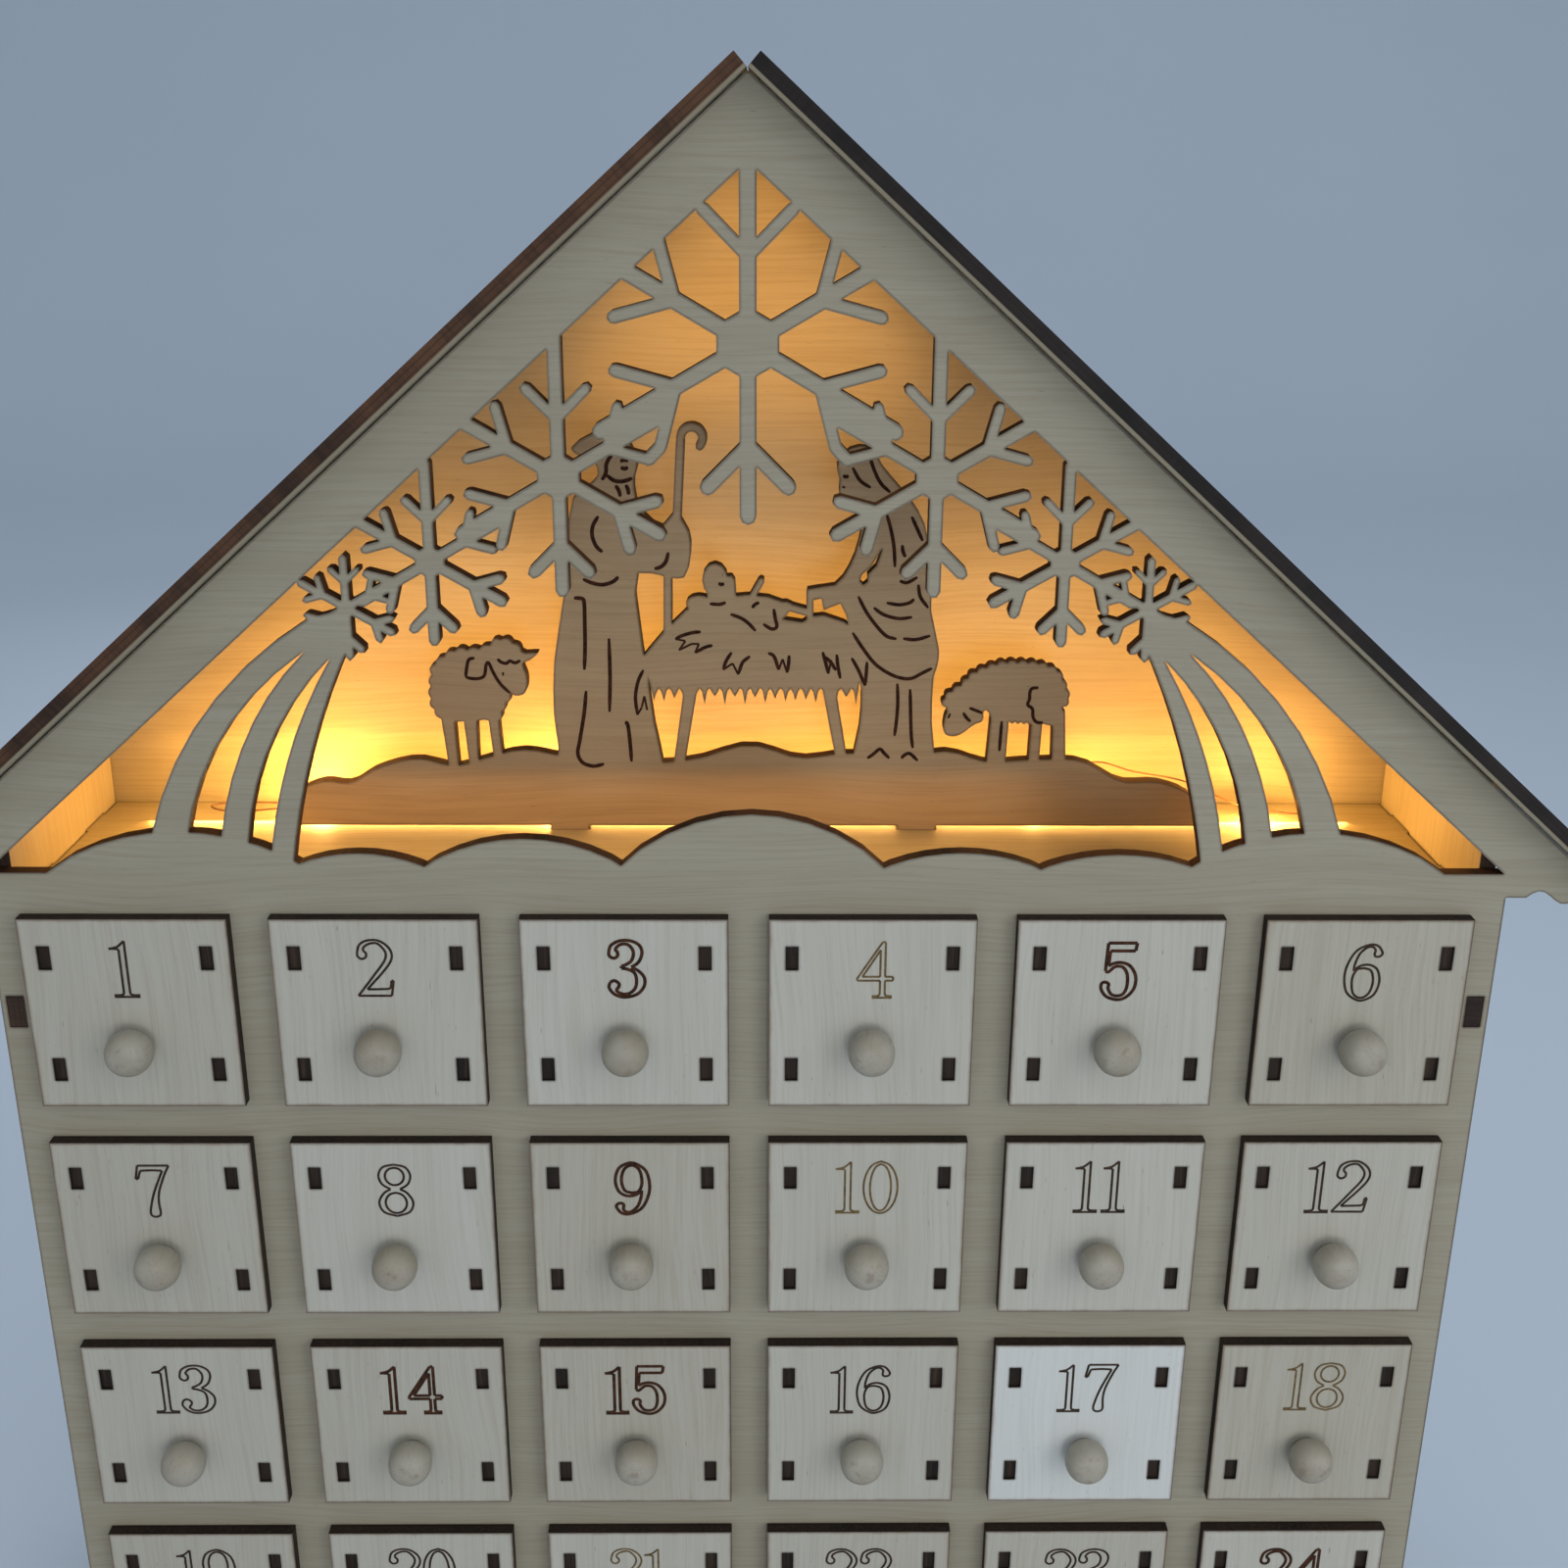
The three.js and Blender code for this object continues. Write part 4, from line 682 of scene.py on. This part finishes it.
def drawer_finish():
    material, tree, shader = new_finish("drawer birch")
    point = step(tree, "TexCoord").outputs["Object"]
    split = step(tree, "SeparateXYZ", {0: point}).outputs
    column = reckon(tree, "FLOOR", reckon(tree, "DIVIDE", split[0], pitch_across))
    from_foot = reckon(tree, "SUBTRACT", split[2], low_middle - pitch_up / 2)
    row = reckon(tree, "FLOOR", reckon(tree, "DIVIDE", from_foot, pitch_up))
    column_middle = reckon(tree, "MULTIPLY_ADD", column, pitch_across, pitch_across / 2)
    row_middle = reckon(tree, "MULTIPLY_ADD", row, pitch_up, low_middle)
    across = reckon(tree, "SUBTRACT", split[0], column_middle)
    up = reckon(tree, "SUBTRACT", split[2], row_middle)
    which = step(tree, "CombineXYZ", {0: column, 1: row}).outputs[0]
    chance = step(tree, "TexWhiteNoise", {"Vector": which}, noise_dimensions="3D").outputs
    shifted = step(tree, "VectorMath", {0: chance["Color"], 1: point}, operation="ADD").outputs[0]
    moved = step(tree, "SeparateXYZ", {0: shifted}).outputs
    place = step(tree, "CombineXYZ", {0: moved[2], 1: moved[0], 2: moved[1]}).outputs[0]
    tone = chance["Value"]
    pale = stain(tree, tone, srgb(180, 179, 171), srgb(166, 163, 151))
    deep = stain(tree, tone, srgb(165, 162, 151), srgb(150, 144, 128))
    in_column = reckon(tree, "COMPARE", column, lit_front[0], 0.5)
    in_row = reckon(tree, "COMPARE", row, lit_front[1], 0.5)
    # number 17's front is painted paler and whiter: painted light
    painted_light_share = reckon(tree, "MULTIPLY", in_column, in_row)
    pale = stain(tree, painted_light_share, pale, srgb(197, 200, 198))
    deep = stain(tree, painted_light_share, deep, srgb(184, 186, 182))
    wood, streaks, pores = veneer(tree, place, pale, deep, srgb(104, 84, 60))

    normal = step(tree, "SeparateXYZ", {0: step(tree, "NewGeometry").outputs["Normal"]}).outputs
    to_front = reckon(tree, "ABSOLUTE", normal[1])
    in_front = reckon(tree, "LESS_THAN", split[1], front_face + drawer_ply + slack)
    side_on = reckon(tree, "LESS_THAN", to_front, square_on)
    front_edge = reckon(tree, "MULTIPLY", in_front, side_on)
    sunk = reckon(tree, "GREATER_THAN", split[1], front_face + tab_ends[0])
    raised = reckon(tree, "LESS_THAN", split[1], front_face + tab_ends[1])
    slot_end = reckon(tree, "MULTIPLY", reckon(tree, "MULTIPLY", sunk, in_front), raised)
    high_up = reckon(tree, "GREATER_THAN", up, tray_rise)
    tray_top = reckon(tree, "MULTIPLY", high_up, reckon(tree, "GREATER_THAN", normal[2], square_on))
    cut = reckon(tree, "MAXIMUM", reckon(tree, "MAXIMUM", front_edge, slot_end), tray_top)

    # smoke along the front's own outline and round its slots
    waver = reckon(tree, "MULTIPLY", figure(tree, place, (260, 260, 260), detail=2.0), smoke_waver)
    past_side = reckon(tree, "SUBTRACT", reckon(tree, "ABSOLUTE", across), front_size.x / 2)
    past_end = reckon(tree, "SUBTRACT", reckon(tree, "ABSOLUTE", up), front_size.z / 2)
    rim = reckon(tree, "ADD", reckon(tree, "MAXIMUM", past_side, past_end), waver)
    smoke = reckon(tree, "MULTIPLY", fade(tree, rim, smoke_start, smoke_end, to=0.75), in_front)
    wood = stain(tree, smoke, wood, srgb(110, 80, 52))
    near = near_cut(tree)
    wood = stain(tree, fade(tree, near, 0.02, 0.12, to=0.85), wood, srgb(46, 30, 20))
    edge = scorch(tree, place, 0.5, srgb(38, 26, 18), srgb(15, 10, 7))

    # a tab's end is charred, and darker round its rim, where the slot's shade is painted, than in the middle
    core = reckon(tree, "SUBTRACT", 1.0, fade(tree, near, 0.002, 0.03))
    core = reckon(tree, "MULTIPLY", core, slot_end)
    core = reckon(tree, "MULTIPLY", core, fade(tree, streaks, 0.4, 0.7, to=0.4))
    edge = stain(tree, core, edge, srgb(78, 62, 46))
    tree.links.new(stain(tree, cut, wood, edge), shader.inputs["Base Color"])
    rough = reckon(tree, "MULTIPLY_ADD", streaks, 0.2, 0.5)
    tree.links.new(reckon(tree, "MULTIPLY_ADD", cut, 0.15, rough), shader.inputs["Roughness"])
    sand(tree, shader, streaks, pores)
    return material


dress(drawer_finish(), *[f"drawer_{number:02}" for number in range(1, 25)])

# Numbers: outlined figures 1 to 24, which the laser scores into the fronts with a fine line. It bit
# deeper on some fronts than on others, and no two numbers sit quite alike.

figure_height = 0.0114
figure_rise = 0.0091               # middle of a number over the middle of its front
figure_gap = 6                     # between two figures, in hundredths of their height
sway_across, sway_up = 0.0005, 0.0004            # the furthest that a number sits off its place
score_rise = 0.00003
oval = [(math.sin(math.radians(turn)), math.cos(math.radians(turn))) for turn in range(0, 361, 30)]
halves_of_8 = [
    [(0, 100), (19, 95), (27, 79), (22, 62), (8, 52)], [(8, 52), (20, 44), (29, 26), (22, 7), (0, -1)],
]
figure_lines = {                   # half width, then lines across and up, in hundredths of the height
    "0": (29, [[(29 * x, 50 + 51 * z) for x, z in oval], [(18 * x, 50 + 46 * z) for x, z in oval]]),
    "1": (21, [
        [(-21, 86), (-15, 87), (-6, 90), (2, 97), (5, 100)], [(-21, 86), (-12, 86), (-5, 85)],
        [(-5, 85), (-5, 10)], [(-5, 10), (-6, 5), (-12, 3), (-21, 3)],
        [(5, 100), (5, 10)], [(5, 10), (6, 5), (12, 3), (21, 3)], [(-21, 0), (21, 0)],
    ]),
    "2": (29, [
        [(-26, 80), (-22, 92), (-10, 99.5), (8, 100), (23, 90), (29.5, 76), (26, 61), (11, 41), (-4, 24),
         (-14, 12.5)],
        [(-26, 80), (-26, 72), (-20, 67), (-13, 70), (-12, 77), (-16, 82), (-15, 88), (-6, 94), (6, 95),
         (15, 87), (20, 76), (16, 62), (0, 40), (-18, 16), (-29.5, 1)],
        [(-29.5, 1), (25, 1)], [(25, 1), (29.5, 28)], [(29.5, 28), (26, 28)],
        [(26, 28), (25, 20), (22, 14), (10, 13), (-14, 12.5)],
    ]),
    "3": (29, [
        [(-28, 80), (-24, 92), (-10, 100), (8, 100), (22, 92), (26, 78), (20, 62), (8, 53)],
        [(8, 53), (20, 46), (29, 34), (28, 18), (16, 4), (-4, -1), (-20, 4), (-29, 16), (-27, 26)],
        [(-28, 80), (-27, 73), (-20, 69), (-14, 73), (-14, 80), (-17, 85), (-10, 93), (2, 94), (10, 86),
         (12, 76), (8, 64), (-2, 57), (-8, 55)],
        [(-8, 55), (-8, 51)],
        [(-8, 51), (0, 50), (12, 44), (16, 32), (14, 16), (4, 6), (-8, 5), (-17, 11), (-13, 18),
         (-13, 24), (-20, 29), (-27, 26)],
    ]),
    "4": (29, [
        [(12, 100), (-29, 34)], [(-29, 34), (-28, 31)], [(-28, 31), (9, 31)], [(9, 31), (9, 9)],
        [(9, 9), (8, 5), (4, 3), (-4, 3)], [(-4, 0), (29, 0)], [(17, 31), (17, 9)],
        [(17, 9), (18, 5), (22, 3), (29, 3)], [(17, 31), (30, 31)], [(30, 31), (30, 38)],
        [(30, 38), (17, 38)], [(17, 38), (17, 100)], [(17, 100), (12, 100)],
        [(9, 38), (9, 86)], [(9, 86), (-20, 38)], [(-20, 38), (9, 38)],
    ]),
    "5": (29, [
        [(-20, 101), (27, 101)], [(27, 101), (25, 87)], [(25, 87), (-16, 87)],
        [(-20, 101), (-22, 51)], [(-16, 87), (-17.5, 60)],
        [(-17.5, 60), (-8, 65), (4, 66), (18, 60), (28, 42), (27, 20), (15, 4), (0, -1), (-18, 5), (-27, 18),
         (-27, 28), (-21, 31), (-15, 27), (-16, 20), (-10, 9), (0, 6), (10, 10), (15, 24), (14, 45), (6, 58),
         (-6, 59), (-14, 52), (-18, 49), (-22, 51)],
    ]),
    "6": (29, [
        [(27, 90), (20, 98), (7, 100), (-13, 90), (-25, 68), (-29, 43), (-23, 15), (-6, 1), (7, 0), (23, 10),
         (29.5, 33), (24, 55), (10, 64), (-5, 62), (-15, 53)],
        [(-15, 53), (-14, 66), (-8, 84), (3, 95), (12, 96), (17, 90), (16, 84), (18, 79), (25, 79),
         (29, 84), (27, 90)],
        [(2, 58), (-10, 55), (-16, 38), (-12, 13), (1, 4), (14, 12), (19, 33), (14, 53), (2, 58)],
    ]),
    "7": (29, [
        [(-24, 100), (29, 100)],
        [(29, 100), (20, 82), (8, 50), (5, 27), (6, 6), (0, 0), (-8, 1), (-11, 8), (-8, 24), (0, 50),
         (17, 90)],
        [(17, 90), (0, 91), (-20, 90)], [(-24, 100), (-29, 74)], [(-29, 74), (-25, 74)],
        [(-25, 74), (-20, 90)],
    ]),
    "8": (29, [
        [(side * x, z) for x, z in half] for half in halves_of_8 for side in (-1, 1)
    ] + [[(16 * x, 77 + 17 * z) for x, z in oval], [(18 * x, 25 + 20 * z) for x, z in oval]]),
}
figure_lines["9"] = (29, [[(-x, 100 - z) for x, z in line] for line in figure_lines["6"][1]])


def number_lines(text, middle):
    """The lines of a number, centred on a place across and up its front."""
    hundredth = figure_height / 100
    width = sum(2 * figure_lines[sign][0] for sign in text) + figure_gap * (len(text) - 1)
    lines, start = [], -width / 2
    for sign in text:
        half, strokes = figure_lines[sign]
        centre = start + half
        lines += [
            [(middle[0] + (centre + x) * hundredth, middle[1] + (z - 50) * hundredth) for x, z in stroke]
            for stroke in strokes
        ]
        start += 2 * half + figure_gap
    return lines


scores = {                         # width of the laser's line and its finish
    "deep": (0.00066, burn_finish("deep score", srgb(72, 42, 25), srgb(34, 20, 13))),
    "plain": (0.00048, burn_finish("score", srgb(64, 49, 37), srgb(36, 28, 22))),
    "faint": (0.00042, burn_finish("faint score", srgb(112, 94, 62), srgb(80, 65, 42))),
}
bite = {number: "deep" for number in (3, 5, 9, 14, 15, 24)} | {number: "faint" for number in (4, 10, 18, 21)}
for number in range(1, 25):
    low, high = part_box(f"drawer_{number:02}")
    middle = (
        (low.x + high.x) / 2 + sway_across * math.sin(5 * number),
        (low.z + high.z) / 2 + figure_rise + sway_up * math.sin(7 * number),
    )
    width, burn = scores[bite.get(number, "plain")]
    points, faces = burnt_strokes(
        number_lines(str(number), middle), width, front_face, score_rise, ends=1, parts=3,
    )
    score = mesh_piece(f"number_{number:02}", points, faces, burn, f"tray_{number:02}", smooth=False)

# Knobs: turned from pale wood with a short neck and a flattened nose, glued into the fronts by a peg.
# The nose shows end grain with small brown pores, and the flanks show fine streaks.

knob_sides = 32
knob_shape = [                     # from the front's face outwards, and from the axis
    (0.00015, 0.0), (0.00015, 0.0026), (0.0006, 0.00264), (0.0011, 0.0027), (0.0014, 0.003),
    (0.00165, 0.0035), (0.002, 0.0039), (0.0025, 0.00418), (0.0031, 0.00434), (0.0038, 0.0044),
    (0.0046, 0.00436), (0.0054, 0.0042), (0.0062, 0.00388), (0.0068, 0.00342), (0.00725, 0.0029),
    (0.00758, 0.0022), (0.00778, 0.0014), (0.00785, 0.0),
]


def knob_finish():
    material, tree, shader = new_finish("turned birch")
    point = step(tree, "TexCoord").outputs["Object"]
    streaks = figure(tree, point, (1300, 70, 1300), detail=3.0, roughness=0.6)
    clouds = figure(tree, point, (130, 60, 130), detail=2.0)
    pores = step(tree, "TexVoronoi", {"Vector": point, "Scale": 1500.0}, feature="F1").outputs["Distance"]
    nose = reach(tree, step(tree, "NewGeometry").outputs["Normal"], (0, -1, 0))
    colour = stain(tree, fade(tree, clouds, 0.35, 0.7), srgb(156, 152, 140), srgb(144, 137, 122))
    colour = stain(tree, fade(tree, streaks, 0.5, 0.8, to=0.4), colour, srgb(124, 110, 92))
    rubs = fade(tree, figure(tree, point, (300, 300, 300), detail=3.0, roughness=0.6), 0.54, 0.68, to=0.42)
    rubs = reckon(tree, "MULTIPLY", rubs, fade(tree, nose, 0.55, 0.9))
    colour = stain(tree, rubs, colour, srgb(112, 92, 76))
    open_pores = reckon(tree, "SUBTRACT", 1.0, fade(tree, pores, 0.12, 0.3))
    spots = reckon(tree, "MULTIPLY", open_pores, fade(tree, nose, 0.6, 0.95, to=0.2))
    tree.links.new(stain(tree, spots, colour, srgb(104, 84, 64)), shader.inputs["Base Color"])
    tree.links.new(reckon(tree, "MULTIPLY_ADD", streaks, 0.2, 0.4), shader.inputs["Roughness"])
    bump = step(tree, "Bump", {"Strength": 0.3, "Distance": grain_depth, "Height": streaks})
    tree.links.new(bump.outputs[0], shader.inputs["Normal"])
    shader.inputs["Specular IOR Level"].default_value = 0.35
    return material


def turned(shape, middle, sides):
    """A closed form turned round the level line that runs to the front through middle."""
    points = []
    for reach_out, radius in shape[1:-1]:
        for k in range(sides):
            turn = 2 * math.pi * k / sides
            points.append(middle + Vector((radius * math.cos(turn), -reach_out, radius * math.sin(turn))))
    rings = len(shape) - 2
    faces = ring_faces(rings, sides)
    points += [middle - Vector((0, shape[0][0], 0)), middle - Vector((0, shape[-1][0], 0))]
    first, last = len(points) - 2, len(points) - 1
    faces += [(first, (k + 1) % sides, k) for k in range(sides)]
    faces += [(last, (rings - 1) * sides + k, (rings - 1) * sides + (k + 1) % sides) for k in range(sides)]
    return points, faces


knob_wood = knob_finish()
for number in range(1, 25):
    low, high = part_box(f"knob_{number:02}")
    middle = Vector(((low.x + high.x) / 2, front_face, (low.z + high.z) / 2))
    points, faces = turned(knob_shape, middle, knob_sides)
    knob = mesh_piece(f"turned_knob_{number:02}", points, faces, knob_wood, f"tray_{number:02}")
    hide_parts(f"knob_{number:02}")

# Room: a plain pale floor that turns up into a wall, soft lamps in front, above and behind, and the
# camera at the height and turn of the photograph.

floor_start, bend_start, bend_radius = -3.0, 1.4, 0.8
bend_steps = 12
wall_top, half_wide = 3.0, 4.0


def backdrop():
    material, tree, shader = new_finish("pale backdrop")
    point = step(tree, "TexCoord").outputs["Object"]
    mottle = figure(tree, point, (3, 3, 3))
    paper = stain(tree, mottle, srgb(181, 196, 212), srgb(187, 201, 217))
    tree.links.new(paper, shader.inputs["Base Color"])
    shader.inputs["Roughness"].default_value = 0.9
    rows = [(floor_start, 0.0), (bend_start, 0.0)]
    for i in range(1, bend_steps + 1):
        turn = math.pi / 2 * i / bend_steps
        rows.append((bend_start + bend_radius * math.sin(turn), bend_radius * (1 - math.cos(turn))))
    rows.append((bend_start + bend_radius, wall_top))
    points = [(x, y, z) for y, z in rows for x in (-half_wide, half_wide)]
    faces = [(2 * i, 2 * i + 1, 2 * i + 3, 2 * i + 2) for i in range(len(rows) - 1)]
    mesh = bpy.data.meshes.new("floor")
    mesh.from_pydata(points, [], faces)
    for polygon in mesh.polygons:
        polygon.use_smooth = True
    mesh.materials.append(material)
    floor = bpy.data.objects.new("floor", mesh)
    bpy.context.scene.collection.objects.link(floor)


backdrop()

for name, place, aim, width, power, colour, spread in (
    ("key", (0.14, -1.15, 0.21), (0.06, 0, 0.1), 0.36, 1.2, (1.0, 0.99, 0.98), 120),
    ("left", (-0.9, -1.8, 0.9), (0, 0, 0.15), 1.4, 2.0, (0.99, 0.99, 0.99), 180),
    ("right", (1.3, -1.4, 1.2), (0, 0, 0.12), 1.4, 8.5, (0.98, 0.99, 1.0), 180),
    ("low right", (0.5, -0.6, 0.21), (0.13, 0, 0.03), 0.36, 0.3, (0.98, 0.99, 1.0), 120),
    ("top", (0.3, 0.6, 2.2), (0, 0.6, 0.1), 2.0, 7, (1.0, 1.0, 1.0), 180),
    ("back", (-0.3, 1.2, 0.7), (0, 0.03, 0.2), 0.7, 1.3, (1.0, 1.0, 1.0), 80),
):
    lamp = bpy.data.lights.new(name, "AREA")
    lamp.spread = math.radians(spread)
    lamp.shape = "SQUARE"
    lamp.size = width
    lamp.energy = power
    lamp.color = colour
    stand = bpy.data.objects.new(name, lamp)
    stand.location = place
    stand.rotation_euler = (Vector(aim) - Vector(place)).to_track_quat("-Z", "Y").to_euler()
    stand.visible_camera = False
    bpy.context.scene.collection.objects.link(stand)

world = bpy.data.worlds.new("studio")
world.use_nodes = True
sky = world.node_tree.nodes["Background"]
sky.inputs["Color"].default_value = (0.9, 0.95, 1.0, 1)
sky.inputs["Strength"].default_value = 0.45
bpy.context.scene.world = world

camera = bpy.data.cameras.new("camera")
camera.lens = 40.61
camera.sensor_width = 36
stand = bpy.data.objects.new("camera", camera)
stand.location = (0.002705, -0.3344, 0.3191)
stand.rotation_euler = [math.radians(turn) for turn in (70.532, -0.308, -0.596)]
bpy.context.scene.collection.objects.link(stand)
bpy.context.scene.camera = stand
bpy.context.scene.view_settings.view_transform = "Standard"
